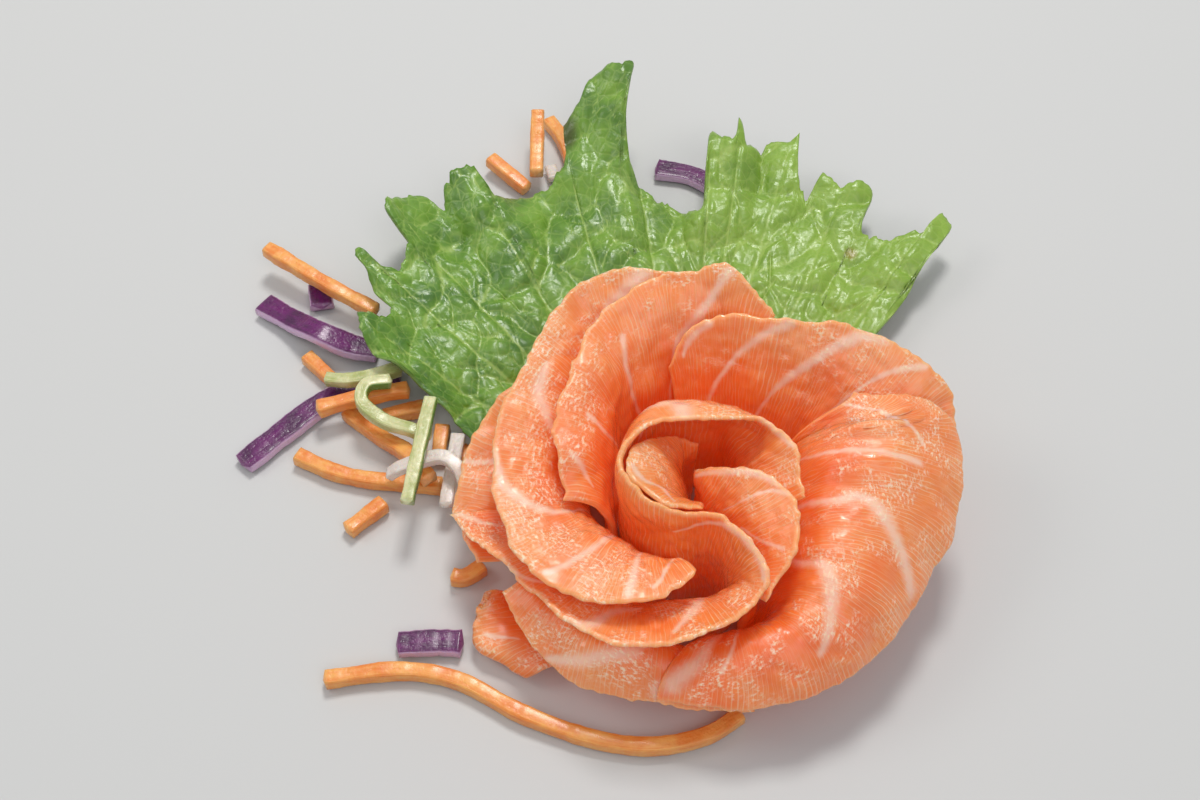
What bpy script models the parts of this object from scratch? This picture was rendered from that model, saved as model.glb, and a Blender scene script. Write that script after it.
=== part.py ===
# A rose folded from slices of raw salmon, with the frilled lettuce leaf behind it and its shreds of
# carrot, cucumber, radish and red cabbage. Tables are in millimetres round the rose's axis, with +X to
# the right, +Y towards the leaf and +Z up. Everything stands on the level z = 0.
import math

import bpy
import numpy as np

MM = 0.001
ROSE_AT = (18.1, -32.1)

# Salmon slices
SLICE_THICKNESS = 2.2
EDGE_THICKNESS = 1.0
END_THINNING = 0.35
SLICE_STEP = 3.2
SLICE_ROWS = 9
EDGE_WAVE = 0.35

# Lettuce leaf
LEAF_THICKNESS = 0.9
LEAF_COLUMNS = 84
LEAF_ROWS = 8
LEAF_FROM = 51.5
LEAF_TO = 154.5
LEAF_FOOT_HEIGHT = 0.7
LEAF_MIDDLE_HEIGHT = 5.0
LEAF_WAVE = 0.7
LOBE_BLUNTNESS = 2.5

# Shreds
SHRED_STEP = 4.0
CARROT_SECTION = (3.0, 2.9)
CUCUMBER_SECTION = (2.7, 2.3)
RADISH_SECTION = (2.7, 1.9)
CABBAGE_SECTION = (5.0, 2.2)

# Each slice follows stations (rim x, rim y, rim height, foot x, foot y). "rise" is how high the
# slice climbs straight up from its foot, "swell" how far it has gone outwards by then, "lip" the
# length of the turned rim and "lean" the rim's slope in degrees, 90 for upright. The lists run from
# the slice's first end to its last.
SLICES = {
    "petal_heart_wall": dict(
        stations=[
            (15.0, -5.4, 25.6, 5.0, -1.8),
            (14.8, -1.2, 27.0, 4.4, 1.4),
            (14.0, 2.8, 28.0, 3.9, 4.0),
            (12.0, 6.0, 28.6, 3.8, 6.6),
            (8.6, 7.9, 29.0, 3.6, 9.6),
            (3.8, 7.4, 29.5, 1.8, 12.6),
            (-3.0, 7.5, 29.5, -4.4, 14.0),
            (-10.0, 6.3, 29.3, -11.0, 9.8),
            (-14.4, 2.2, 28.5, -12.4, 2.6),
            (-14.0, -2.4, 28.0, -11.4, -2.6),
            (-11.2, -5.9, 28.0, -8.8, -6.2),
            (-6.6, -8.6, 27.5, -5.0, -8.2),
            (-2.2, -8.8, 27.0, -1.3, -9.0),
            (2.0, -10.2, 27.5, 1.6, -10.6),
            (6.2, -14.5, 27.3, 3.5, -12.6),
            (8.3, -19.4, 26.0, 3.3, -14.9),
            (6.4, -23.6, 24.3, 0.6, -16.4),
            (0.5, -27.3, 22.5, -4.4, -17.2),
            (-8.0, -29.6, 21.3, -10.2, -17.2),
            (-17.5, -28.4, 20.3, -16.2, -15.2),
            (-26.7, -21.3, 19.0, -21.2, -12.2),
            (-34.4, -12.2, 16.8, -24.8, -6.4),
            (-39.8, -6.8, 15.0, -25.6, -2.8),
            (-43.4, -1.6, 13.8, -26.0, 0.4),
        ],
        rise=(17, 18, 21, 22, 22, 18, 15, 13, 15, 16, 15, 13, 11, 10, 11),
        swell=(0, 0, -2, -2, 0, 0, 0, 0, 0, 0, 0, 0, 0, 0, 0),
        lip=(9, 8, 9, 9, 5, 4, 5, 7, 9, 11, 11.5, 11, 10.5, 10, 9),
        lean=(140, 130, 30, 18, 82, 88, 84, 56, 38, 28, 25, 22, 18, 14, 10),
    ),
    "petal_heart_fold": dict(
        stations=[
            (-1.6, -7.0, 26.0, -1.8, -5.4),
            (-6.3, -6.8, 27.0, -2.7, -3.4),
            (-10.3, -4.6, 27.4, -3.2, -0.8),
            (-12.8, -1.0, 27.6, -3.4, 1.8),
            (-12.4, 3.0, 26.9, -3.8, 4.2),
            (-9.6, 6.8, 24.8, -4.6, 6.8),
            (-5.6, 9.8, 21.2, -4.6, 9.4),
            (-1.2, 10.6, 18.0, -1.6, 10.6),
        ],
        rise=(18, 19, 20, 19, 16),
        swell=(-0.8, -0.8, -0.8, 0, 0),
        lip=(5, 6.5, 7, 6, 3),
        lean=(40, 26, 24, 36, 70),
    ),
    "petal_heart_flare": dict(
        stations=[
            (-1.9, 3.6, 20.2, -0.8, 3.8),
            (1.9, 2.0, 23.2, -0.2, 1.8),
            (6.4, 0.4, 25.5, 0.3, 0.0),
            (10.4, -2.2, 26.6, 0.8, -2.2),
            (13.1, -6.0, 27.0, 1.8, -5.0),
            (14.0, -10.4, 26.4, 3.8, -8.0),
            (13.2, -14.8, 25.2, 5.8, -11.4),
            (11.4, -18.2, 23.8, 7.2, -14.8),
            (9.6, -20.6, 22.4, 6.9, -17.4),
        ],
        rise=(17, 17, 16, 16, 14, 12),
        swell=(-0.6, -0.6, 0, 0, 0, 0),
        lip=(3, 6, 9, 9, 8, 5),
        lean=(60, 40, 34, 36, 33, 25),
    ),
    "petal_long_left": dict(
        stations=[
            (-2.6, -17.4, 23.2, -6.6, -11.4),
            (-7.4, -22.4, 23.6, -9.6, -10.0),
            (-16.5, -23.4, 23.0, -12.2, -8.2),
            (-22.7, -21.6, 22.5, -14.7, -5.2),
            (-30.1, -15.9, 22.0, -17.5, -2.9),
            (-34.9, -5.4, 22.0, -20.0, 0.8),
            (-35.9, 4.0, 22.5, -20.9, 6.0),
            (-35.2, 12.0, 23.8, -20.4, 10.6),
            (-31.5, 21.0, 25.3, -19.0, 15.2),
            (-26.8, 30.7, 27.0, -16.2, 19.4),
            (-20.5, 38.0, 28.4, -12.4, 22.6),
            (-10.9, 39.3, 30.0, -6.6, 24.6),
            (-4.0, 38.6, 29.0, -1.0, 25.4),
        ],
        rise=(17, 18, 18, 16, 14, 14, 14, 15, 15, 16, 17),
        swell=(0, 0, 0, 0, 0, 0, 0, 0, 0, 0, 0),
        lip=(5, 9, 12, 13.5, 14, 14, 14, 13.5, 13, 12.5, 12),
        lean=(20, 16, 12, 12, 12, 13, 16, 20, 26, 33, 38),
    ),
    "petal_crest_left": dict(
        stations=[
            (-23.8, -3.2, 20.2, -16.2, -1.0),
            (-24.6, 0.8, 22.2, -17.0, 1.4),
            (-25.2, 4.4, 24.4, -17.3, 4.4),
            (-25.6, 8.2, 25.5, -17.2, 7.7),
            (-24.9, 13.0, 26.3, -16.8, 10.9),
            (-22.4, 20.5, 28.0, -15.3, 14.2),
            (-18.9, 28.4, 29.0, -12.8, 17.2),
            (-13.4, 33.0, 30.3, -9.2, 19.6),
            (-7.5, 36.0, 32.0, -5.0, 21.1),
            (-1.3, 36.0, 33.0, -1.0, 21.8),
            (3.8, 36.8, 34.0, 3.0, 22.1),
            (8.0, 33.2, 32.5, 6.5, 22.1),
            (12.1, 28.7, 30.0, 10.0, 21.6),
        ],
        rise=(16, 18, 18, 17, 17, 17),
        swell=(0, 0, 0, 0, 0, 0),
        lip=(5, 7, 8, 9, 10, 9),
        lean=(8, 6, 15, 30, 42, 50),
    ),
    "petal_back": dict(
        stations=[
            (-6.2, 23.4, 22.5, -5.0, 17.8),
            (-2.8, 26.8, 28.0, -1.4, 18.4),
            (2.5, 28.2, 30.5, 3.0, 18.4),
            (9.5, 27.6, 31.0, 7.4, 17.6),
            (16.0, 27.0, 31.0, 11.2, 16.0),
            (23.5, 26.8, 30.3, 14.0, 13.9),
            (31.5, 24.8, 28.3, 16.2, 11.6),
            (38.0, 21.3, 25.8, 17.6, 9.0),
            (42.3, 17.5, 22.4, 18.4, 6.4),
            (43.6, 11.5, 17.0, 18.6, 3.6),
        ],
        rise=(15, 15, 14, 13, 11),
        swell=(0, 0, 0, 0, 0),
        lip=(8, 9, 11, 14, 17),
        lean=(60, 58, 42, 22, 14),
    ),
    "petal_right": dict(
        stations=[
            (24.6, 14.6, 26.6, 11.6, 10.4),
            (31.6, 14.8, 26.2, 11.7, 9.8),
            (37.6, 14.2, 24.8, 11.6, 8.6),
            (41.8, 11.4, 22.4, 11.4, 6.8),
            (43.2, 6.6, 19.5, 11.2, 4.4),
            (42.7, 0.5, 17.3, 10.8, 1.2),
            (41.2, -5.0, 15.0, 10.4, -2.8),
            (38.0, -11.0, 13.4, 10.6, -6.8),
            (34.0, -17.5, 12.8, 11.0, -11.0),
            (29.0, -24.2, 12.2, 10.6, -14.6),
            (23.8, -29.2, 11.5, 10.0, -17.8),
            (18.2, -32.6, 11.2, 8.4, -20.2),
            (11.4, -34.8, 11.2, 4.8, -21.0),
            (3.8, -35.6, 11.2, 0.8, -21.2),
            (-4.4, -35.0, 11.2, -3.2, -21.2),
        ],
        rise=(26, 28, 31, 33, 32, 31, 28, 25, 22, 19, 17),
        swell=(0, 1, 3, 3, 3, 3, 3, 2, 2, 1, 0),
        lip=(3, 9, 16, 17, 15, 14, 13, 12, 11, 10, 8),
        lean=(0, -18, -34, -46, -53, -57, -60, -60, -58, -52, -42),
    ),
    "petal_front": dict(
        stations=[
            (7.0, -33.8, 6.4, 1.6, -27.6),
            (0.0, -34.8, 8.0, -3.0, -26.6),
            (-7.0, -34.4, 9.4, -7.6, -25.4),
            (-15.0, -33.2, 10.0, -13.4, -23.8),
            (-22.5, -31.0, 10.3, -19.0, -21.2),
            (-27.8, -25.8, 11.0, -23.4, -17.6),
            (-32.0, -20.6, 12.0, -26.8, -13.4),
            (-33.8, -15.8, 13.4, -29.0, -10.2),
        ],
        rise=(8, 10, 15, 18, 19, 18, 17, 15, 14),
        swell=(0, 0, 0, 0, 0, 0, 0, 0, 0),
        lip=(5, 6, 8, 10, 11, 10.5, 9, 7.5, 6),
        lean=(-15, -28, -42, -55, -60, -58, -48, -32, -20),
    ),
    "petal_outer_left": dict(
        stations=[
            (-38.4, -8.4, 9.8, -30.2, -6.6),
            (-41.2, -4.0, 10.2, -29.4, -3.0),
            (-43.0, 0.6, 10.9, -28.4, 0.8),
            (-42.6, 5.2, 12.8, -27.2, 5.0),
            (-41.3, 10.5, 14.5, -26.0, 9.5),
            (-39.0, 15.5, 16.0, -24.5, 14.0),
            (-35.0, 21.0, 17.5, -22.4, 18.2),
            (-30.0, 27.0, 18.0, -19.6, 22.2),
        ],
        rise=(4, 8, 10, 12),
        swell=(0, 0, 0, 0),
        lip=(9, 12, 12, 9),
        lean=(10, 6, 12, 24),
    ),
    "petal_under": dict(
        stations=[
            (-36.2, -12.6, 7.6, -33.2, -10.6),
            (-37.6, -16.0, 4.6, -31.6, -14.4),
            (-38.0, -19.2, 2.6, -29.4, -17.8),
            (-34.4, -22.0, 2.0, -27.0, -20.6),
            (-29.6, -25.4, 1.8, -23.4, -23.2),
        ],
        rise=(7, 7, 7, 6),
        swell=(0, 0, 0, 0),
        lip=(3, 4, 4, 3),
        lean=(10, -15, -20, -15),
    ),
}

# Lobes of the leaf: direction in degrees round the rose, reach of the tip, half width in degrees and
# height of the tip.
LEAF_LOBES = [
    (146.4, 77.5, 3.0, 12.0),
    (137.4, 87.8, 3.0, 12.5),
    (130.2, 90.0, 2.9, 15.0),
    (120.3, 91.0, 3.2, 15.0),
    (101.8, 96.0, 3.3, 14.0),
    (97.4, 104.0, 2.5, 18.0),
    (87.2, 88.5, 2.1, 13.0),
    (83.4, 92.5, 1.9, 15.0),
    (77.0, 93.0, 2.4, 12.0),
    (68.6, 86.5, 4.0, 10.0),
    (55.4, 85.5, 3.6, 10.0),
]
# The hollows between them: direction, reach and height of the edge.
LEAF_HOLLOWS = [
    (51, 54, 5.0),
    (60, 71, 5.0),
    (73, 79, 5.0),
    (81, 83, 5.0),
    (91, 71, 5.0),
    (104, 80, 5.0),
    (112, 82, 5.0),
    (124, 83, 5.5),
    (134, 80, 6.5),
    (141, 74, 8.0),
    (149, 60, 9.0),
    (155, 44, 8.5),
]
LEAF_INNER = [(51, 29), (120, 30), (135, 32), (155, 36)]

# Shreds: the middle line as (x, y, height).
SHREDS = {
    "carrot_long": (
        "carrot",
        [
            (-64.2, -26.2, 1.6),
            (-51.5, -24.6, 1.6),
            (-41.5, -26.4, 1.6),
            (-31.0, -32.2, 1.6),
            (-19.5, -36.6, 1.6),
            (-9.8, -38.0, 1.6),
            (-0.8, -36.2, 1.6),
            (5.5, -32.2, 1.6),
        ],
    ),
    "carrot_far_left": (
        "carrot",
        [
            (-83.5, 64.0, 6.0),
            (-70.9, 55.5, 5.2),
            (-60.5, 49.6, 4.0),
        ],
    ),
    "carrot_short_left": (
        "carrot",
        [
            (-73.8, 41.0, 1.6),
            (-68.0, 35.0, 1.6),
        ],
    ),
    "carrot_thin_tip": (
        "carrot",
        [
            (-70.0, 26.2, 5.0),
            (-64.8, 28.0, 5.0),
            (-58.5, 29.8, 5.0),
            (-53.0, 30.8, 5.0),
        ],
    ),
    "carrot_sloping": (
        "carrot",
        [
            (-65.3, 28.3, 1.6),
            (-58.4, 22.4, 1.8),
            (-52.3, 16.6, 4.6),
            (-48.0, 10.6, 5.3),
        ],
    ),
    "carrot_stub": (
        "carrot",
        [
            (-58.4, 26.8, 1.6),
            (-54.6, 28.0, 1.6),
            (-50.1, 29.0, 1.6),
        ],
    ),
    "carrot_curved": (
        "carrot",
        [
            (-73.4, 18.5, 1.6),
            (-66.2, 14.9, 1.6),
            (-59.8, 13.2, 1.6),
            (-53.5, 12.6, 1.6),
            (-46.0, 11.8, 1.6),
        ],
    ),
    "carrot_low": (
        "carrot",
        [
            (-62.8, 2.3, 1.6),
            (-59.0, 5.9, 1.6),
            (-56.2, 8.5, 1.6),
        ],
    ),
    "carrot_upright": (
        "carrot",
        [
            (-46.9, 25.0, 1.6),
            (-47.2, 21.0, 1.6),
            (-47.3, 17.0, 1.6),
        ],
    ),
    "carrot_by_rose": (
        "carrot",
        [
            (-44.1, 17.2, 1.5),
            (-41.3, 20.0, 1.5),
        ],
    ),
    "carrot_curl": (
        "carrot",
        [
            (-44.0, -6.6, 1.6),
            (-41.4, -6.8, 1.6),
            (-38.0, -4.4, 1.6),
        ],
    ),
    "carrot_back_low": (
        "carrot",
        [
            (-40.9, 90.7, 3.0),
            (-36.5, 86.5, 2.4),
            (-32.6, 83.0, 1.6),
        ],
    ),
    "carrot_back_tall": (
        "carrot",
        [
            (-30.8, 99.1, 8.4),
            (-30.9, 90.6, 5.8),
            (-30.9, 84.0, 5.0),
        ],
    ),
    "carrot_back_right": (
        "carrot",
        [
            (-29.0, 102.9, 1.6),
            (-25.8, 97.1, 1.6),
            (-23.6, 88.6, 1.6),
        ],
    ),
    "cucumber_upper": (
        "cucumber",
        [
            (-69.2, 33.2, 5.0),
            (-64.2, 32.6, 5.4),
            (-58.3, 33.8, 5.8),
            (-55.0, 35.6, 5.2),
        ],
    ),
    "cucumber_hook": (
        "cucumber",
        [
            (-56.0, 30.6, 8.0),
            (-60.5, 29.4, 8.4),
            (-61.1, 25.6, 8.2),
            (-57.1, 22.4, 7.0),
            (-51.8, 20.2, 7.3),
            (-48.4, 19.4, 5.8),
        ],
    ),
    "cucumber_front": (
        "cucumber",
        [
            (-48.3, 24.8, 11.0),
            (-49.2, 17.8, 11.1),
            (-51.3, 2.6, 10.4),
        ],
    ),
    "radish_upright": (
        "radish",
        [
            (-43.7, 21.4, 4.2),
            (-44.2, 16.0, 4.6),
            (-45.2, 5.5, 4.6),
        ],
    ),
    "radish_arch": (
        "radish",
        [
            (-55.8, 12.2, 4.8),
            (-52.6, 12.3, 7.6),
            (-46.2, 13.6, 8.6),
            (-42.9, 11.2, 8.4),
            (-41.4, 7.8, 7.0),
        ],
    ),
    "radish_back": (
        "radish",
        [
            (-28.4, 90.1, 1.4),
            (-27.2, 85.8, 1.4),
        ],
    ),
    "cabbage_far_left": (
        "red_cabbage",
        [
            (-83.5, 53.7, 1.4),
            (-76.5, 48.4, 2.6),
            (-71.3, 44.2, 4.8),
            (-65.3, 42.4, 2.8),
            (-60.0, 42.2, 1.4),
        ],
    ),
    "cabbage_stub": (
        "red_cabbage",
        [
            (-72.9, 58.6, 1.4),
            (-71.8, 52.4, 1.4),
        ],
    ),
    "cabbage_long_left": (
        "red_cabbage",
        [
            (-83.0, 16.4, 1.4),
            (-76.2, 23.6, 1.4),
            (-69.2, 30.4, 1.4),
            (-61.0, 34.8, 1.4),
            (-55.5, 36.2, 1.4),
        ],
    ),
    "cabbage_front": (
        "red_cabbage",
        [
            (-52.5, -19.6, 1.4),
            (-46.0, -19.2, 1.4),
            (-41.0, -19.4, 1.4),
        ],
    ),
    "cabbage_back": (
        "red_cabbage",
        [
            (-6.7, 89.1, 1.4),
            (0.5, 87.4, 1.4),
            (6.1, 83.8, 1.4),
        ],
    ),
}
SECTIONS = {
    "carrot": CARROT_SECTION,
    "cucumber": CUCUMBER_SECTION,
    "radish": RADISH_SECTION,
    "red_cabbage": CABBAGE_SECTION,
}
# Colour and roughness.
SURFACES = {
    "salmon_flesh": ((0.86, 0.27, 0.085, 1), 0.3),
    "lettuce": ((0.17, 0.36, 0.035, 1), 0.4),
    "carrot": ((0.9, 0.33, 0.055, 1), 0.45),
    "cucumber": ((0.62, 0.7, 0.33, 1), 0.4),
    "radish": ((0.82, 0.74, 0.68, 1), 0.35),
    "red_cabbage": ((0.13, 0.012, 0.08, 1), 0.35),
}


def material(name):
    colour, roughness = SURFACES[name]
    made = bpy.data.materials.get(name) or bpy.data.materials.new(name)
    made.use_nodes = True
    shader = made.node_tree.nodes["Principled BSDF"]
    shader.inputs["Base Color"].default_value = colour
    shader.inputs["Roughness"].default_value = roughness
    shader.inputs["Metallic"].default_value = 0
    made.diffuse_color = colour
    return made


def add_solid(name, points, triangles, surface):
    """One closed body; points are in millimetres round the rose's axis."""
    placed = np.asarray(points, float) + (ROSE_AT[0], ROSE_AT[1], 0)
    mesh = bpy.data.meshes.new(name)
    mesh.from_pydata((placed * MM).tolist(), [], [list(map(int, t)) for t in triangles])
    mesh.materials.append(material(surface))
    body = bpy.data.objects.new(name, mesh)
    bpy.context.scene.collection.objects.link(body)
    return body


def curve_at(stations, where):
    """A smooth curve through evenly numbered stations, read at the given station numbers."""
    table = np.asarray(stations, float)
    padded = np.vstack([2 * table[0] - table[1], table, 2 * table[-1] - table[-2]])
    first = np.clip(np.floor(where).astype(int), 0, len(table) - 2)
    t = (where - first)[:, None]
    a, b, c, d = (padded[first + k] for k in range(4))
    return 0.5 * (2 * b + (c - a) * t + (2 * a - 5 * b + 4 * c - d) * t**2 + (3 * b - a - 3 * c + d) * t**3)


def even_curve(stations, step, fewest=2):
    """Rows of the smooth curve at even distances along its first three columns, and those shares."""
    where = np.linspace(0, len(stations) - 1, 400)
    dense = curve_at(stations, where)
    along = np.concatenate([[0], np.cumsum(np.linalg.norm(np.diff(dense[:, :3], axis=0), axis=1))])
    count = max(fewest, round(along[-1] / step))
    share = np.linspace(0, 1, count + 1)
    return curve_at(stations, np.interp(share * along[-1], along, where)), share


def left_of(path):
    """The level direction to the left of each step of a path."""
    heading = np.gradient(path, axis=0)
    side = np.stack([-heading[:, 1], heading[:, 0]], axis=1)
    return side / np.linalg.norm(side, axis=1, keepdims=True)


def spread(values, share):
    return np.interp(share, np.linspace(0, 1, len(values)), values)[:, None]


def slice_grid(sizes):
    """The middle surface of a slice, rows from foot to rim, and its thickness there."""
    curve, share = even_curve(sizes["stations"], SLICE_STEP)
    rim, foot = curve[:, :3], np.column_stack([curve[:, 3:], np.zeros(len(curve))])
    outward = np.column_stack([left_of((rim[:, :2] + foot[:, :2]) / 2), np.zeros(len(curve))])
    up = np.array([0.0, 0.0, 1.0])
    lean = np.radians(spread(sizes["lean"], share))
    low = foot + up * spread(sizes["rise"], share) + outward * spread(sizes["swell"], share)
    high = rim - spread(sizes["lip"], share) * (outward * np.cos(lean) + up * np.sin(lean))
    wave = EDGE_WAVE * (np.sin(23 * share + len(share)) + np.sin(41 * share))[:, None]
    v = np.linspace(0, 1, SLICE_ROWS + 1)[:, None, None]
    grid = (1 - v) ** 3 * foot + 3 * v * (1 - v) ** 2 * low + 3 * v**2 * (1 - v) * high + v**3 * (rim + outward * wave)
    thin = 1 - END_THINNING * np.abs(2 * share - 1) ** 8
    thickness = (SLICE_THICKNESS + (EDGE_THICKNESS - SLICE_THICKNESS) * v[..., 0] ** 2) * thin
    return grid, thickness


def normals_of(grid):
    across = np.gradient(grid, axis=1)
    along = np.gradient(grid, axis=0)
    normal = np.cross(across, along)
    return normal / np.linalg.norm(normal, axis=2, keepdims=True)


def sheet_solid(name, grid, thickness, surface):
    """A closed sheet: the grid moved half its thickness to each side, with a strip round the edge."""
    rows, columns = grid.shape[:2]
    push = normals_of(grid) * (thickness / 2)[..., None]
    # The foot's end stays on the level it stands on.
    near, far = (grid + push), (grid - push)
    near[0, :, 2] = far[0, :, 2] = grid[0, :, 2]
    points = np.concatenate([near.reshape(-1, 3), far.reshape(-1, 3)])
    index = np.arange(rows * columns).reshape(rows, columns)
    a, b, c, d = index[:-1, :-1], index[:-1, 1:], index[1:, 1:], index[1:, :-1]
    face = np.concatenate([np.stack([a, b, c], -1).reshape(-1, 3), np.stack([a, c, d], -1).reshape(-1, 3)])
    back = face[:, ::-1] + rows * columns
    ring = np.concatenate([index[0, :-1], index[:-1, -1], index[-1, :0:-1], index[:0:-1, 0]])
    following = np.roll(ring, -1)
    other, other_following = ring + rows * columns, following + rows * columns
    side = np.concatenate([np.stack([following, ring, other], -1), np.stack([following, other, other_following], -1)])
    return add_solid(name, points, np.concatenate([face, back, side]), surface)


def leaf_reach(direction):
    """How far the leaf's edge is from the rose's axis, and the height of the edge."""
    at, reach, height = np.transpose(LEAF_HOLLOWS)
    hollow = np.interp(direction, at, reach)
    low = np.interp(direction, at, height)
    extra = np.zeros_like(direction)
    lift = np.zeros_like(direction)
    for at, reach, width, height in LEAF_LOBES:
        bump = np.exp(-np.abs((direction - at) / width) ** LOBE_BLUNTNESS)
        extra = np.maximum(extra, np.maximum(reach - hollow, 0) * bump)
        lift = np.maximum(lift, (height - low) * bump)
    return hollow + extra, low + lift


def leaf_grid():
    direction = np.linspace(LEAF_TO, LEAF_FROM, LEAF_COLUMNS + 1)
    reach, edge_height = leaf_reach(direction)
    inner = np.interp(direction, *np.transpose(LEAF_INNER))
    v = np.linspace(0, 1, LEAF_ROWS + 1)[:, None]
    distance = inner + (reach - inner) * v
    turn = np.radians(direction)[None, :]
    wave = LEAF_WAVE * np.sin(3 * np.pi * v) * np.sin(12.6 * turn + 2 * v)
    height = LEAF_FOOT_HEIGHT + (LEAF_MIDDLE_HEIGHT - LEAF_FOOT_HEIGHT) * np.sin(np.pi / 2 * v) + wave
    height = height + (edge_height - LEAF_MIDDLE_HEIGHT) * v**3
    grid = np.stack([distance * np.cos(turn), distance * np.sin(turn), height], -1)
    return grid, np.full(distance.shape, LEAF_THICKNESS)


def shred_solid(name, surface, line):
    """A strip of rectangular section along its middle line."""
    width, height = SECTIONS[surface]
    path, share = even_curve(line, SHRED_STEP, fewest=3)
    heading = np.gradient(path, axis=0)
    heading /= np.linalg.norm(heading, axis=1, keepdims=True)
    side = np.column_stack([left_of(path[:, :2]), np.zeros(len(path))])
    top = np.cross(heading, side)
    corners = [(-1, -1), (1, -1), (1, 1), (-1, 1)]
    rings = np.stack([path + (i * width * side + j * height * top) / 2 for i, j in corners], axis=1)
    points = rings.reshape(-1, 3)
    triangles = [(0, 2, 1), (0, 3, 2)]
    for k in range(len(path) - 1):
        for i in range(4):
            a, b = 4 * k + i, 4 * k + (i + 1) % 4
            triangles += [(a, b + 4, a + 4), (a, b, b + 4)]
    end = 4 * (len(path) - 1)
    triangles += [(end, end + 1, end + 2), (end, end + 2, end + 3)]
    return add_solid(name, points, triangles, surface)


def build():
    for old in list(bpy.data.objects):
        bpy.data.objects.remove(old)
    bpy.context.scene.unit_settings.scale_length = 1
    for name, sizes in SLICES.items():
        sheet_solid(name, *slice_grid(sizes), "salmon_flesh")
    sheet_solid("lettuce_leaf", *leaf_grid(), "lettuce")
    for name, (surface, line) in SHREDS.items():
        shred_solid(name, surface, line)


build()
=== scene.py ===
import math

import bpy
import numpy as np
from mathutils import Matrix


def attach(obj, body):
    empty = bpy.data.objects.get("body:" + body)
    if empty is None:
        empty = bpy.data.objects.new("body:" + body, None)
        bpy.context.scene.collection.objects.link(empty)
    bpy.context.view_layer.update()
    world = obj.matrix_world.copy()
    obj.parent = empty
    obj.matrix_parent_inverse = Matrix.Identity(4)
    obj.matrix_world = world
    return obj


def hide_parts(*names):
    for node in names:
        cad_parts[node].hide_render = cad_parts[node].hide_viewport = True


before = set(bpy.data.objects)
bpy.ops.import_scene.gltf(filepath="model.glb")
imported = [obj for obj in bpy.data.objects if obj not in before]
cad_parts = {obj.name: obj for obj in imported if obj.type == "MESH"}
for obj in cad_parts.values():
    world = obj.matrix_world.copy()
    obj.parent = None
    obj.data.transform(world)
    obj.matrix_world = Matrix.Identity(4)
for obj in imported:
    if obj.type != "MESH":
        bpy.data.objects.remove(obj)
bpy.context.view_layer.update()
print("frame loaded,", len(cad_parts), "nodes")

mm = 0.001
roseAt = (18.1, -32.1)


# Shapes

# A smooth curve through evenly numbered stations: between two of them it is the cubic whose slope at
# each end is half the step between that station's neighbours.
def curveAt(stations, where):
    table = np.asarray(stations, float)
    padded = np.vstack([2 * table[0] - table[1], table, 2 * table[-1] - table[-2]])
    first = np.clip(np.floor(where).astype(int), 0, len(table) - 2)
    t = (where - first)[:, None]
    a, b, c, d = (padded[first + k] for k in range(4))
    return 0.5 * (2 * b + (c - a) * t + (2 * a - 5 * b + 4 * c - d) * t**2 + (3 * b - a - 3 * c + d) * t**3)


# The same curve read at even distances, the share of the way at each and the whole length.
def evenCurve(stations, step):
    where = np.linspace(0, len(stations) - 1, 1600)
    dense = curveAt(stations, where)
    along = np.concatenate([[0], np.cumsum(np.linalg.norm(np.diff(dense[:, :3], axis=0), axis=1))])
    share = np.linspace(0, 1, round(along[-1] / step) + 1)
    return curveAt(stations, np.interp(share * along[-1], along, where)), share, along[-1]


# The level direction to the left of each step of a path: its heading turned a quarter.
def leftOf(path):
    heading = np.gradient(path, axis=0)
    side = np.stack([-heading[:, 1], heading[:, 0]], axis=1)
    return side / np.linalg.norm(side, axis=1, keepdims=True)


# A short list of values drawn out evenly over the shares.
def spread(values, share):
    return np.interp(share, np.linspace(0, 1, len(values)), values)[:, None]


# Smooth unevenness from -1 to 1: eight sine waves of about one wavelength, with seeded headings.
def unevenness(x, y, wavelength, seed):
    dice = np.random.default_rng(seed)
    total = np.zeros(np.broadcast(x, y).shape)
    for heading, phase, stretch in zip(*dice.uniform((0, 0, 0.7), (6.28, 6.28, 1.5), (8, 3)).T):
        total += np.sin(6.283 * stretch / wavelength * (x * np.cos(heading) + y * np.sin(heading)) + phase)
    return total / 4


# Unit normals of a grid: the cross product of its steps along the columns and up the rows.
def normalsOf(grid):
    normal = np.cross(np.gradient(grid, axis=1), np.gradient(grid, axis=0))
    return normal / np.maximum(np.linalg.norm(normal, axis=2, keepdims=True), 1e-9)


# Distance in the sheet's own plane from each point to the nearest of some polylines, over their width.
def lineDistance(x, y, lines):
    nearest = np.full(x.shape, 9.0)
    for line in lines:
        for (ax, ay, aw), (bx, by, bw) in zip(line[:-1], line[1:]):
            along = ((x - ax) * (bx - ax) + (y - ay) * (by - ay)) / ((bx - ax) ** 2 + (by - ay) ** 2 + 1e-9)
            t = np.clip(along, 0, 1)
            gap = np.hypot(x - ax - (bx - ax) * t, y - ay - (by - ay) * t)
            nearest = np.minimum(nearest, gap / (aw + (bw - aw) * t))
    return nearest


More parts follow.
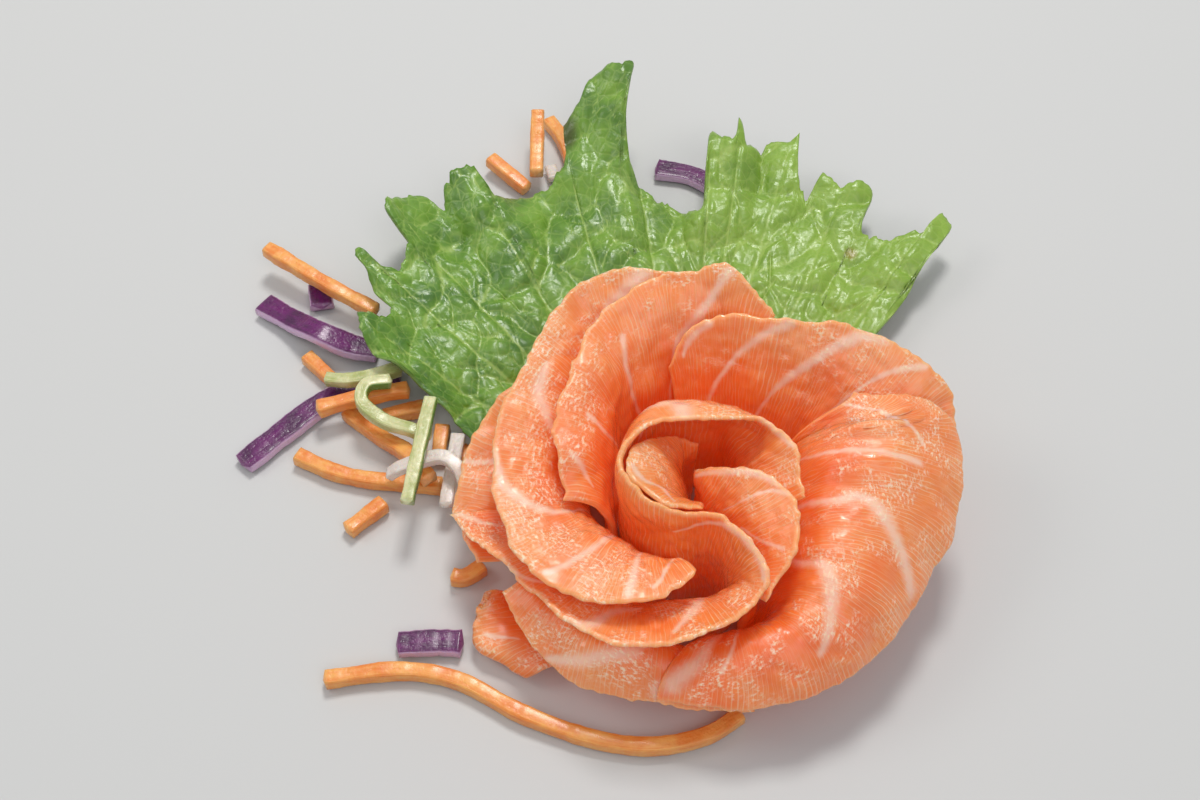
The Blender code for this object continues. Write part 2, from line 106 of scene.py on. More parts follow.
# One mesh from points in millimetres and faces by number, hung on the root in place of its solid.
def finishPiece(name, points, faces, node, material, uv=None, attributes=None):
    mesh = bpy.data.meshes.new(name)
    placed = (points + np.array([roseAt[0], roseAt[1], 0])) * mm
    mesh.vertices.add(len(placed))
    mesh.vertices.foreach_set("co", placed.ravel())
    mesh.loops.add(faces.size)
    mesh.loops.foreach_set("vertex_index", faces.ravel())
    mesh.polygons.add(len(faces))
    mesh.polygons.foreach_set("loop_start", np.arange(len(faces)) * faces.shape[1])
    mesh.polygons.foreach_set("use_smooth", np.ones(len(faces), bool))
    mesh.update()
    if uv is not None:
        layer = mesh.uv_layers.new(name="surface")
        layer.uv.foreach_set("vector", uv[faces.ravel()].ravel())
    for key, values in (attributes or {}).items():
        mesh.attributes.new(key, "FLOAT", "POINT").data.foreach_set("value", values.ravel())
    mesh.validate()
    mesh.materials.append(material)
    piece = bpy.data.objects.new(name, mesh)
    bpy.context.scene.collection.objects.link(piece)
    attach(piece, "root")
    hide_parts(node)
    return piece


# A closed sheet: the grid moved half its thickness to each side along the normals of its smooth form,
# and a strip of faces round the edge that joins the two.
def sheetPiece(name, grid, smooth, thickness, node, material, uv, attributes):
    rows, columns = grid.shape[:2]
    push = normalsOf(smooth) * (thickness / 2)[..., None]
    near, far = grid + push, grid - push
    near[..., 2] = np.maximum(near[..., 2], 0)
    far[..., 2] = np.maximum(far[..., 2], 0)
    points = np.concatenate([near.reshape(-1, 3), far.reshape(-1, 3)])
    index = np.arange(rows * columns).reshape(rows, columns)
    face = np.stack([index[:-1, :-1], index[:-1, 1:], index[1:, 1:], index[1:, :-1]], -1).reshape(-1, 4)
    back = face[:, ::-1] + rows * columns
    ring = np.concatenate([index[0, :-1], index[:-1, -1], index[-1, :0:-1], index[:0:-1, 0]])
    following = np.roll(ring, -1)
    side = np.stack([following, ring, ring + rows * columns, following + rows * columns], -1)
    doubled = {key: np.concatenate([values.ravel(), values.ravel()]) for key, values in attributes.items()}
    doubled["underside"] = np.repeat([0.0, 1.0], rows * columns)
    uvs = np.concatenate([uv.reshape(-1, 2), uv.reshape(-1, 2)])
    return finishPiece(name, points, np.concatenate([face, back, side]), node, material, uvs, doubled)


# Materials

# A shader node with its settings; each input is a value or another node's socket.
def addNode(tree, kind, inputs=None, **settings):
    made = tree.nodes.new("ShaderNode" + kind)
    for key, value in settings.items():
        setattr(made, key, value)
    for key, value in (inputs or {}).items():
        if isinstance(value, bpy.types.NodeSocket):
            tree.links.new(value, made.inputs[key])
        else:
            made.inputs[key].default_value = value
    return made


# Two colours mixed by a factor.
def mixed(tree, factor, first, second):
    return addNode(tree, "Mix", {0: factor, 6: first, 7: second}, data_type="RGBA").outputs[2]


# One sum on up to three values.
def sums(tree, operation, first, second=0.0, third=0.0):
    return addNode(tree, "Math", {0: first, 1: second, 2: third}, operation=operation).outputs[0]


# A value carried smoothly from one range to another and held at its ends.
def faded(tree, value, low, high, outLow=0.0, outHigh=1.0):
    ends = {"Value": value, "From Min": low, "From Max": high, "To Min": outLow, "To Max": outHigh}
    return addNode(tree, "MapRange", ends, interpolation_type="SMOOTHSTEP").outputs[0]


# Cloudy noise round one half.
def grain(tree, vector, scale, detail=2.0, roughness=0.5):
    sockets = {"Vector": vector, "Scale": scale, "Detail": detail, "Roughness": roughness}
    return addNode(tree, "TexNoise", sockets).outputs["Fac"]


# The number that a piece's points carry under a name.
def reading(tree, name):
    return addNode(tree, "Attribute", attribute_name=name).outputs["Fac"]


# The piece's own map, in tenths of a metre, stretched by two numbers.
def stretchedUv(tree, across, along):
    uv = addNode(tree, "UVMap", uv_map="surface").outputs["UV"]
    return addNode(tree, "Mapping", {"Vector": uv, "Scale": (across, along, 1)}).outputs["Vector"]


# A Principled material with some sockets set, their names written with underscores for spaces.
def newMaterial(name, **sockets):
    made = bpy.data.materials.new(name)
    made.use_nodes = True
    shader = made.node_tree.nodes["Principled BSDF"]
    for key, value in sockets.items():
        shader.inputs[key.replace("_", " ")].default_value = value
    return made, made.node_tree, shader


salmonLook = dict(
    flesh=(0.92, 0.19, 0.03, 1),
    fleshDeep=(0.9, 0.13, 0.014, 1),
    fleshPale=(0.93, 0.3, 0.075, 1),
    fibre=(0.96, 0.56, 0.34, 1),
    fat=(0.96, 0.62, 0.47, 1),
    # paler cut edges, partly a painted highlight where the edge catches the light
    cutEdgeSheen=(0.95, 0.42, 0.17, 1),
    # painted highlight colour of the glinting specks on wet, up-facing surfaces
    wetSheen=(1.0, 0.8, 0.6, 1),
    inside=(1.0, 0.12, 0.01, 1),  # painted glow: emission for light that has come through the flesh
    insideGlowStrength=0.055,
    threadSpacing=0.85,
    threadBend=16.0,
    hairStrength=0.3,
    fatEdge=(0.1, 2.3),
    fatStrength=(0.45, 0.82),
    fatWobble=1.3,
    cutEdgeSheenStrength=0.6,
    glintStrength=0.85,
    reliefStrength=0.9,
    reliefDepth=0.00012,
    wetReliefDepth=0.0004,
)


# Thin lines where a stretched noise passes through its middle value.
def threads(tree, vector, width, detail=2.0):
    off = sums(tree, "ABSOLUTE", sums(tree, "SUBTRACT", grain(tree, vector, 1, detail, 0.55), 0.5))
    return faded(tree, off, 0.0, width, 1.0, 0.0)


# Even fine lines across a slice: the crests of a sine along it that a noise bends. The map's unit is
# 100 mm, so 628.3 over the spacing is one turn for each line.
def fibres(tree, spacing):
    along = addNode(tree, "SeparateXYZ", {0: addNode(tree, "UVMap", uv_map="surface").outputs["UV"]}).outputs["X"]
    bend = sums(tree, "MULTIPLY", grain(tree, stretchedUv(tree, 11, 7), 1, 3, 0.55), salmonLook["threadBend"])
    crest = sums(tree, "SINE", sums(tree, "MULTIPLY_ADD", along, 628.3 / spacing, bend))
    return faded(tree, crest, 0.6, 1.0)


# Flesh colour goes from deep to pale with the height up the slice and a cloudy unevenness. Fat lines
# fade out as the attribute fatLine grows, and fine pale threads run from foot to rim. The cut edges are
# paler, partly a painted highlight where they catch the light. Painted highlights, pale specks mixed
# into the colour, glint in patches on the wet surfaces that face up, and a faint emission is a painted
# glow for light that has come through the flesh.
def salmonMaterial():
    look = salmonLook
    made, tree, shader = newMaterial(
        "salmonFlesh", Subsurface_Weight=0.5, Subsurface_Scale=0.005, Coat_Weight=1.0, Coat_Roughness=0.08, IOR=1.4
    )
    shader.inputs["Subsurface Radius"].default_value = (1.0, 0.3, 0.1)
    # A faint painted glow: emission in the inside colour, for light that has come through the flesh.
    shader.inputs["Emission Color"].default_value = look["inside"]
    shader.inputs["Emission Strength"].default_value = look["insideGlowStrength"]
    place = addNode(tree, "TexCoord").outputs["Object"]
    cloud = grain(tree, place, 110, 3)
    height = reading(tree, "height")
    climbed = faded(tree, sums(tree, "MULTIPLY_ADD", cloud, 0.7, height), 0.5, 1.5)
    colour = mixed(tree, faded(tree, cloud, 0.35, 0.65), look["fleshDeep"], look["flesh"])
    colour = mixed(tree, climbed, colour, look["fleshPale"])
    bands = faded(tree, grain(tree, stretchedUv(tree, 22, 90), 1, 2, 0.6), 0.5, 0.75, 0.0, 0.35)
    colour = mixed(tree, bands, colour, look["flesh"])
    clear = faded(tree, grain(tree, stretchedUv(tree, 20, 12), 1, 2), 0.35, 0.58, 0.3, 1.0)
    fibre = sums(tree, "MULTIPLY", fibres(tree, look["threadSpacing"]), clear)
    hair = threads(tree, stretchedUv(tree, 150, 14), 0.06)
    shown = sums(tree, "MULTIPLY", faded(tree, height, 0.25, 0.75, 0.4, 0.85), faded(tree, cloud, 0.35, 0.6, 0.45, 1.0))
    lines = sums(tree, "MAXIMUM", fibre, sums(tree, "MULTIPLY", hair, look["hairStrength"]))
    colour = mixed(tree, sums(tree, "MULTIPLY", lines, shown), colour, look["fibre"])
    wander = grain(tree, stretchedUv(tree, 100, 100), 0.9, 3, 0.6)
    wobble = sums(tree, "MULTIPLY_ADD", wander, look["fatWobble"], -look["fatWobble"] / 2)
    line = faded(tree, sums(tree, "ADD", reading(tree, "fatLine"), wobble), *look["fatEdge"], 1.0, 0.0)
    fat = sums(tree, "MULTIPLY", line, faded(tree, height, 0.1, 0.7, *look["fatStrength"]))
    colour = mixed(tree, fat, colour, look["fat"])
    # Paler along the cut rim and ends, partly a painted highlight where the edge catches the light.
    edge = sums(tree, "MULTIPLY", reading(tree, "cutEdgeSheen"), look["cutEdgeSheenStrength"])
    colour = mixed(tree, edge, colour, look["cutEdgeSheen"])
    # Painted highlights: pale specks mixed into the colour in patches where the slice faces up. The same specks also
    # raise the coat's bumps.
    beads = grain(tree, stretchedUv(tree, 110, 210), 1, 3, 0.65)
    patches = faded(tree, grain(tree, place, 150, 4, 0.62), 0.44, 0.6)
    wetSheen = sums(tree, "MULTIPLY", patches, reading(tree, "wetSheen"))
    paintedGlint = sums(tree, "MULTIPLY", faded(tree, beads, 0.46, 0.66), wetSheen)
    colour = mixed(tree, sums(tree, "MULTIPLY", paintedGlint, look["glintStrength"]), colour, look["wetSheen"])
    tree.links.new(colour, shader.inputs["Base Color"])
    gloss = faded(tree, grain(tree, place, 700, 2), 0.35, 0.7, 0.28, 0.5)
    tree.links.new(gloss, shader.inputs["Roughness"])
    rough = sums(tree, "MULTIPLY_ADD", wetSheen, 0.8, 0.2)
    relief = sums(tree, "MULTIPLY_ADD", lines, 0.2, sums(tree, "MULTIPLY", beads, rough))
    for socket, depth in (("Normal", "reliefDepth"), ("Coat Normal", "wetReliefDepth")):
        bump = addNode(tree, "Bump", {"Height": relief, "Strength": look["reliefStrength"], "Distance": look[depth]})
        tree.links.new(bump.outputs["Normal"], shader.inputs[socket])
    return made


leafLook = dict(
    green=(0.13, 0.29, 0.02, 1),
    greenDeep=(0.06, 0.17, 0.012, 1),
    greenPale=(0.26, 0.42, 0.05, 1),
    vein=(0.4, 0.55, 0.13, 1),
    below=(0.2, 0.29, 0.08, 1),
    olive=(0.07, 0.1, 0.012, 1),
    brown=(0.3, 0.2, 0.03, 1),
    netScale=420,
)


# Green from deep to pale with the attribute pale, lighter along the veins, where the attribute vein is
# low, and faintly so along the finest net. The underside is duller, and the attributes olive and brown
# mark a dark patch and a bruise.
def leafMaterial():
    look = leafLook
    made, tree, shader = newMaterial(
        "lettuceLeaf", Subsurface_Weight=0.12, Subsurface_Scale=0.001, Coat_Weight=0.3, Coat_Roughness=0.27
    )
    shader.inputs["Subsurface Radius"].default_value = (0.5, 1.0, 0.15)
    place = addNode(tree, "TexCoord").outputs["Object"]
    cloud = grain(tree, place, 140, 3)
    colour = mixed(tree, faded(tree, cloud, 0.3, 0.65), look["greenDeep"], look["green"])
    pale = faded(tree, sums(tree, "ADD", reading(tree, "pale"), sums(tree, "MULTIPLY_ADD", cloud, 0.8, -0.4)), 0, 1)
    colour = mixed(tree, pale, colour, look["greenPale"])
    cells = addNode(tree, "TexVoronoi", {"Vector": place, "Scale": look["netScale"]}, feature="DISTANCE_TO_EDGE")
    net = cells.outputs["Distance"]
    colour = mixed(tree, faded(tree, net, 0.0, 0.09, 0.22, 0.0), colour, look["vein"])
    vein = faded(tree, reading(tree, "vein"), 0.1, 1.3, 0.65, 0.0)
    colour = mixed(tree, vein, colour, look["vein"])
    colour = mixed(tree, sums(tree, "MULTIPLY", reading(tree, "underside"), 0.6), colour, look["below"])
    colour = mixed(tree, reading(tree, "olive"), colour, look["olive"])
    colour = mixed(tree, sums(tree, "MULTIPLY", reading(tree, "brown"), 0.7), colour, look["brown"])
    tree.links.new(colour, shader.inputs["Base Color"])
    tree.links.new(faded(tree, grain(tree, place, 500, 2), 0.3, 0.7, 0.3, 0.5), shader.inputs["Roughness"])
    relief = sums(tree, "MULTIPLY_ADD", faded(tree, net, 0.0, 0.3), 0.8, grain(tree, place, 1300, 2))
    bump = addNode(tree, "Bump", {"Height": relief, "Strength": 0.4, "Distance": 0.0002})
    tree.links.new(bump.outputs["Normal"], shader.inputs["Normal"])
    tree.links.new(bump.outputs["Normal"], shader.inputs["Coat Normal"])
    return made


# A cut vegetable: two colours streaked along its length, another on the flanks that the attribute flank
# marks, and paler where the attribute end is near 1.
def shredMaterial(name, look):
    made, tree, shader = newMaterial(
        name, Subsurface_Weight=look["inside"], Subsurface_Scale=0.002, Coat_Weight=0.4, Coat_Roughness=0.18
    )
    shader.inputs["Subsurface Radius"].default_value = (1.0, 0.6, 0.3)
    lines = grain(tree, stretchedUv(tree, 12, 160), 1, 3, 0.6)
    place = addNode(tree, "TexCoord").outputs["Object"]
    cloud = grain(tree, place, 260, 3)
    blend = faded(tree, sums(tree, "MULTIPLY_ADD", cloud, 0.5, sums(tree, "MULTIPLY", lines, 0.5)), 0.38, 0.62)
    colour = mixed(tree, blend, look["first"], look["second"])
    flank = faded(tree, reading(tree, "flank"), look["flankFrom"], look["flankFrom"] + 0.2)
    colour = mixed(tree, flank, colour, look["flank"])
    colour = mixed(tree, sums(tree, "MULTIPLY", reading(tree, "end"), 0.7), colour, look["ends"])
    tree.links.new(colour, shader.inputs["Base Color"])
    fine = grain(tree, place, 1500, 2)
    tree.links.new(faded(tree, fine, 0.3, 0.7, look["rough"] - 0.1, look["rough"] + 0.15), shader.inputs["Roughness"])
    relief = sums(tree, "MULTIPLY_ADD", lines, 1.3, fine)
    bump = addNode(tree, "Bump", {"Height": relief, "Strength": 0.45, "Distance": 0.0004})
    tree.links.new(bump.outputs["Normal"], shader.inputs["Normal"])
    return made


salmon = salmonMaterial()
lettuce = leafMaterial()
kinds = {
    "carrot": dict(
        first=(0.82, 0.23, 0.03, 1), second=(0.92, 0.42, 0.1, 1), flank=(0.86, 0.46, 0.16, 1),
        ends=(0.88, 0.52, 0.22, 1), flankFrom=0.85, rough=0.42, inside=0.2, width=3.0, height=2.9,
    ),
    "cucumber": dict(
        first=(0.42, 0.46, 0.15, 1), second=(0.7, 0.68, 0.38, 1), flank=(0.16, 0.3, 0.05, 1),
        ends=(0.72, 0.78, 0.5, 1), flankFrom=0.75, rough=0.35, inside=0.3, width=2.7, height=2.3,
    ),
    "radish": dict(
        first=(0.72, 0.62, 0.55, 1), second=(0.82, 0.74, 0.67, 1), flank=(0.85, 0.78, 0.72, 1),
        ends=(0.85, 0.78, 0.72, 1), flankFrom=0.85, rough=0.3, inside=0.35, width=2.7, height=1.9,
    ),
    "red_cabbage": dict(
        first=(0.06, 0.002, 0.055, 1), second=(0.14, 0.004, 0.12, 1), flank=(0.66, 0.44, 0.64, 1),
        ends=(0.34, 0.14, 0.3, 1), flankFrom=0.8, rough=0.36, inside=0.05, width=5.0, height=2.2,
    ),
}
shredLooks = {kind: shredMaterial(kind + "Cut", look) for kind, look in kinds.items()}
print("materials made")


# Salmon slices

sliceMake = dict(
    thickness=2.2, rimThickness=1.0, endThinning=0.35, edgeWave=0.35, edgeRound=0.7, cutEdgeWidth=0.9,
    slowSway=(0.28, 11), fastSway=(0.09, 3.5), fatWidth=0.7, wetSheenSlope=(0.45, 0.75), step=0.36, rows=90,
    rowCrowding=1.35, leastEdge=0.15,
)
# A station is the rim's x, y and height and then the foot's x and y. The short lists are spread evenly
# along the slice. Fat lines are (distance along, climb from the foot, width).
slices = {
    "heartWall": dict(
        node="petal_heart_wall",
        stations=[
            (15.0, -5.4, 25.6, 5.0, -1.8),
            (14.8, -1.2, 27.0, 4.4, 1.4),
            (14.0, 2.8, 28.0, 3.9, 4.0),
            (12.0, 6.0, 28.6, 3.8, 6.6),
            (8.6, 7.9, 29.0, 3.6, 9.6),
            (3.8, 7.4, 29.5, 1.8, 12.6),
            (-3.0, 7.5, 29.5, -4.4, 14.0),
            (-10.0, 6.3, 29.3, -11.0, 9.8),
            (-14.4, 2.2, 28.5, -13.4, 3.0),
            (-14.0, -2.4, 28.0, -12.7, -3.3),
            (-11.2, -5.9, 28.0, -9.8, -7.3),
            (-6.6, -8.6, 27.5, -5.5, -9.2),
            (-2.2, -8.8, 27.0, -1.3, -9.0),
            (2.0, -10.2, 27.5, 1.6, -10.6),
            (6.2, -14.5, 27.3, 3.5, -12.6),
            (8.3, -19.4, 26.0, 3.3, -14.9),
            (6.4, -23.6, 24.3, 0.6, -16.4),
            (0.5, -27.3, 22.5, -4.4, -17.2),
            (-8.0, -29.6, 21.3, -10.2, -17.2),
            (-17.5, -28.4, 20.3, -16.2, -15.2),
            (-26.7, -21.3, 19.0, -21.2, -12.2),
            (-34.4, -12.2, 16.8, -24.8, -6.4),
            (-39.8, -6.8, 15.0, -25.6, -2.8),
            (-43.4, -1.6, 13.8, -26.0, 0.4),
        ],
        rise=(17, 18, 21, 22, 22, 18, 15, 13, 15, 16, 15, 13, 11, 10, 11),
        swell=(0, 0, -2, -2, 0, 0, 0, 0, 0, 0, 0, 0, 0, 0, 0),
        lip=(9, 8, 9, 9, 5, 4, 5, 7, 9, 11, 11.5, 11, 10.5, 10, 9),
        lean=(140, 130, 30, 18, 82, 88, 84, 56, 38, 28, 25, 22, 18, 14, 10),
        fat=[
            [(36, 20, 0.4), (32, 27, 0.8), (29.4, 28.5, 1.5), (29.2, 32.3, 1.6)],
            [(8.8, 30.8, 0.5), (12.6, 29.4, 0.6), (16, 29.8, 0.9)],
            [(56.7, 22.2, 0.3), (62.6, 25.2, 0.5), (68.1, 27.1, 0.7), (73.1, 27.5, 0.9), (77.7, 27, 0.6)],
            [(84, 12, 0.4), (88, 17, 0.9), (90.8, 20.2, 1), (95.8, 24.9, 0.6)],
            [(101.7, 17.5, 0.4), (108.4, 20.2, 1.1), (111.4, 25, 1.5), (114.5, 25.6, 0.8)],
            [(122.7, 20.7, 0.3), (125.6, 22.4, 0.5), (129.8, 22.7, 0.4)],
            [(140.8, 17.9, 0.4), (142.9, 21.3, 0.7), (145, 23.8, 0.8)],
        ],
    ),
    "heartFold": dict(
        node="petal_heart_fold",
        stations=[
            (-1.6, -8.0, 26.2, -1.8, -5.4),
            (-6.6, -8.0, 27.3, -2.7, -3.4),
            (-11.0, -5.6, 27.7, -3.2, -0.8),
            (-13.5, -1.3, 27.9, -3.4, 1.8),
            (-12.9, 3.1, 27.1, -3.8, 4.2),
            (-9.6, 6.8, 24.8, -4.6, 6.8),
            (-5.6, 9.8, 21.2, -4.6, 9.4),
            (-1.2, 10.6, 18.0, -1.6, 10.6),
        ],
        rise=(18, 19, 20, 19, 16),
        swell=(-0.8, -0.8, -0.8, 0, 0),
        lip=(5, 6.5, 7, 6, 3),
        lean=(40, 26, 24, 36, 70),
        fat=[
            [(15.6, 31.1, 0.5), (12.6, 30.1, 0.6), (10.1, 27.4, 0.5), (5.2, 28, 0.3)],
        ],
    ),
    "heartFlare": dict(
        node="petal_heart_flare",
        stations=[
            (-1.9, 3.6, 20.2, -0.8, 3.8),
            (1.9, 2.0, 23.2, -0.2, 1.8),
            (6.4, 0.4, 25.5, 0.3, 0.0),
            (10.4, -2.2, 26.6, 0.8, -2.2),
            (13.1, -6.0, 27.0, 1.8, -5.0),
            (14.0, -10.4, 26.4, 3.8, -8.0),
            (13.2, -14.8, 25.2, 5.8, -11.4),
            (11.4, -18.2, 23.8, 7.2, -14.8),
            (9.6, -20.6, 22.4, 6.9, -17.4),
            (8.2, -22.0, 21.2, 5.2, -18.9),
        ],
        rise=(17, 17, 16, 16, 14, 12),
        swell=(-0.6, -0.6, 0, 0, 0, 0),
        lip=(3, 6, 9, 9, 8, 5),
        lean=(60, 40, 34, 36, 33, 25),
        fat=[
            [(0.8, 19.7, 0.3), (7.2, 24.5, 0.6), (12.2, 27.8, 0.7), (16.9, 30.1, 0.7)],
            [(13.9, 18.8, 0.3), (16, 26.9, 0.4), (19.4, 30.8, 0.6)],
            [(20.2, 20, 0.3), (25.3, 22.9, 0.4), (28.3, 25.8, 0.5)],
        ],
    ),
    "longLeft": dict(
        node="petal_long_left",
        stations=[
            (-2.6, -17.4, 23.2, -6.6, -11.4),
            (-7.4, -22.4, 23.6, -9.6, -10.0),
            (-16.5, -23.4, 23.0, -12.2, -8.2),
            (-22.7, -21.6, 22.5, -14.7, -5.2),
            (-30.1, -15.9, 22.0, -17.5, -2.9),
            (-34.9, -5.4, 22.0, -20.0, 0.8),
            (-35.9, 4.0, 22.5, -20.9, 6.0),
            (-35.2, 12.0, 23.8, -20.4, 10.6),
            (-31.5, 21.0, 25.3, -19.0, 15.2),
            (-26.8, 30.7, 27.0, -16.2, 19.4),
            (-20.5, 38.0, 28.4, -12.4, 22.6),
            (-10.9, 39.3, 30.0, -6.6, 24.6),
            (-4.0, 38.6, 29.0, -1.0, 25.4),
        ],
        rise=(18, 21, 20.5, 18, 15, 14, 14, 15, 15, 16, 17),
        swell=(0, 0, 0, 0, 0, 0, 0, 0, 0, 0, 0),
        lip=(5, 9, 12, 13.5, 14, 14, 14, 13.5, 13, 12.5, 12),
        lean=(14, 8, 4, 6, 10, 13, 16, 20, 26, 33, 38),
        fat=[
            [(41, 6, 0.4), (40.5, 14, 0.7), (39.4, 20.7, 0.9), (42.4, 25.2, 1), (47.8, 28.8, 0.9), (55, 30.8, 0.7)],
            [(22.5, 12, 0.3), (23.3, 18, 0.7), (24.3, 24.2, 0.8), (26.4, 29.1, 0.8), (28.5, 32.2, 0.7)],
            [(10.6, 17, 0.4), (12.6, 21.2, 0.6), (13, 26.4, 0.8), (13.4, 30.5, 0.9)],
            [(1.7, 21, 0.3), (5, 24.3, 0.5), (9.2, 28.4, 0.4)],
            [(60, 16, 0.4), (62.5, 21.3, 0.5), (66.7, 25.5, 1.2), (69.2, 27.4, 1.3), (74.3, 28.7, 0.7)],
            [(86, 18, 0.4), (87.7, 26.3, 0.5), (93.6, 28.7, 1), (99, 31.6, 1.6), (102.4, 34.5, 1.6)],
        ],
    ),
    "crestLeft": dict(
        node="petal_crest_left",
        stations=[
            (-23.9, -2.8, 20.4, -15.2, -2.6),
            (-24.1, -1.0, 21.2, -15.6, -0.4),
            (-24.6, 0.8, 22.2, -15.9, 1.6),
            (-25.2, 4.4, 24.4, -15.7, 4.6),
            (-25.6, 8.2, 25.5, -15.0, 8.2),
            (-24.9, 13.0, 26.3, -14.8, 11.6),
            (-22.4, 20.5, 28.0, -15.3, 14.2),
            (-18.9, 28.4, 29.0, -12.8, 17.2),
            (-13.4, 33.0, 30.3, -9.2, 19.6),
            (-7.5, 36.0, 32.0, -5.0, 21.1),
            (-1.3, 36.0, 33.0, -1.0, 21.8),
            (3.8, 36.8, 34.0, 3.0, 22.1),
            (8.0, 33.2, 32.5, 6.5, 22.1),
            (12.1, 28.7, 30.0, 10.0, 21.6),
        ],
        rise=(16, 18, 18, 17, 17, 17),
        swell=(0, 0, 0, 0, 0, 0),
        lip=(5, 7, 8, 9, 10, 9),
        lean=(8, 6, 15, 30, 42, 50),
        fat=[
            [(17.5, 12, 0.3), (15.6, 21, 0.6), (16.8, 25.4, 0.5)],
            [(38.3, 12.6, 0.5), (35.7, 18, 0.9), (34.5, 23.9, 1), (37, 28.7, 0.8)],
            [(47, 14, 0.3), (49.2, 23.2, 0.5), (53.8, 28.7, 0.8), (57.2, 32.9, 0.9), (60.6, 36.7, 1.3)],
            [(2.9, 19.9, 0.3), (6.3, 23.2, 0.5), (8.4, 26.3, 0.4)],
        ],
    ),
    "back": dict(
        node="petal_back",
        stations=[
            (-6.2, 23.4, 22.5, -5.0, 17.8),
            (-2.8, 26.8, 28.0, -1.4, 18.4),
            (2.5, 28.2, 30.5, 3.0, 18.4),
            (9.5, 27.6, 31.0, 7.4, 17.6),
            (16.0, 27.0, 31.0, 11.2, 16.0),
            (23.5, 26.8, 30.3, 14.0, 13.9),
            (31.5, 24.8, 28.3, 16.2, 11.6),
            (38.0, 21.3, 25.8, 17.6, 9.0),
            (42.3, 17.5, 22.4, 18.4, 6.4),
            (43.6, 11.5, 17.0, 18.6, 3.6),
        ],
        rise=(15, 15, 14, 13, 11),
        swell=(0, 0, 0, 0, 0),
        lip=(8, 9, 11, 14, 17),
        lean=(60, 58, 42, 22, 14),
        fat=[
            [(4.6, 25.4, 0.4), (7.5, 28.5, 0.8), (11.7, 31.4, 0.7)],
            [(9, 10, 0.3), (11.7, 18.6, 0.5), (15.9, 24.1, 0.6), (21.4, 30.4, 0.8), (25.6, 33.3, 1)],
            [(21, 10, 0.3), (24.7, 19.4, 0.5), (28.5, 24.9, 0.8), (36.9, 33.6, 1.1), (41.9, 36.6, 1.5)],
            [(38, 16, 0.3), (44.5, 29.6, 0.5), (50.8, 37, 0.7)],
        ],
    ),
    "right": dict(
        node="petal_right",
        stations=[
            (24.6, 14.6, 26.6, 11.6, 10.4),
            (31.6, 14.8, 26.2, 11.7, 9.8),
            (37.6, 14.2, 24.8, 11.6, 8.6),
            (41.8, 11.4, 22.4, 11.4, 6.8),
            (43.2, 6.6, 19.5, 11.2, 4.4),
            (42.7, 0.5, 17.3, 10.8, 1.2),
            (41.2, -5.0, 15.0, 10.4, -2.8),
            (38.0, -11.0, 13.4, 9.8, -7.0),
            (34.0, -17.5, 12.8, 9.4, -11.2),
            (29.0, -24.2, 12.2, 9.3, -15.0),
            (23.8, -29.2, 11.5, 9.0, -18.2),
            (18.2, -32.6, 11.2, 8.0, -20.4),
            (11.4, -34.8, 11.2, 4.8, -21.0),
            (2.6, -35.7, 11.2, 3.0, -21.4),
            (-9.0, -34.4, 10.9, 1.4, -22.0),
        ],
        rise=(26, 28, 31, 33, 32, 31, 28, 25, 22, 19, 17),
        swell=(0, 1, 3, 3, 3, 3, 3, 2, 2, 1, 0),
        lip=(3, 9, 16, 17, 15, 14, 13, 12, 11, 10, 8),
        lean=(0, -18, -34, -46, -53, -57, -60, -60, -58, -52, -42),
        fat=[
            [(20, 10, 0.3), (23.5, 20.1, 0.4), (27.3, 25.9, 0.7), (29.4, 32.7, 0.8), (30.2, 41.4, 0.8)],
            [(35, 8, 0.5), (37.8, 19.7, 0.7), (39.9, 25.8, 1.1), (39.4, 30.9, 1.3), (45.7, 36, 1.3), (52, 41.4, 1.4)],
            [(48, 6, 0.5), (50.8, 15.9, 0.7), (55, 20.7, 1.3), (56.6, 24.5, 1.4), (68, 25.7, 1.1), (73, 26.4, 0.9)],
            [(92, 6, 0.6), (94, 14, 1.2), (97, 20, 1.5), (100, 24, 1.8)],
            [(84, 10, 0.3), (87, 16, 0.5), (92, 22, 0.5)],
            [(0.4, 30.5, 0.4), (10.1, 35, 0.4), (20.6, 39.9, 0.5), (26, 42.3, 0.4)],
        ],
    ),
    "front": dict(
        node="petal_front",
        stations=[
            (7.0, -33.8, 6.4, 4.4, -25.0),
            (0.0, -34.8, 8.0, -1.2, -24.0),
            (-7.0, -34.2, 9.0, -6.8, -23.8),
            (-15.0, -33.2, 10.0, -13.2, -23.0),
            (-22.5, -31.0, 10.3, -19.0, -21.0),
            (-27.8, -25.8, 11.0, -23.4, -17.6),
            (-32.0, -20.6, 12.0, -26.8, -13.4),
            (-33.8, -15.8, 13.4, -29.0, -10.2),
        ],
        rise=(8, 12, 15, 18, 19, 18, 17, 15, 14),
        swell=(0, 0, 0, 0, 0, 0, 0, 0, 0),
        lip=(5, 6, 8, 10, 11, 10.5, 9, 7.5, 6),
        lean=(-15, -28, -42, -55, -60, -58, -48, -32, -20),
        fat=[
            [(12.6, 16.5, 1), (14.3, 19.4, 1.3), (16.4, 21.8, 1.3)],
            [(18.5, 15.1, 0.4), (22.3, 18.3, 1), (29, 20.8, 1.2), (35.7, 23.1, 1)],
        ],
    ),
    "outerLeft": dict(
        node="petal_outer_left",
        stations=[
            (-38.4, -8.4, 9.8, -30.2, -6.6),
            (-41.2, -4.0, 10.2, -29.4, -3.0),
            (-43.0, 0.6, 10.9, -28.4, 0.8),
            (-42.6, 5.2, 12.8, -27.2, 5.0),
            (-41.3, 10.5, 14.5, -26.0, 9.5),
            (-39.0, 15.5, 16.0, -24.5, 14.0),
            (-35.0, 21.0, 17.5, -22.4, 18.2),
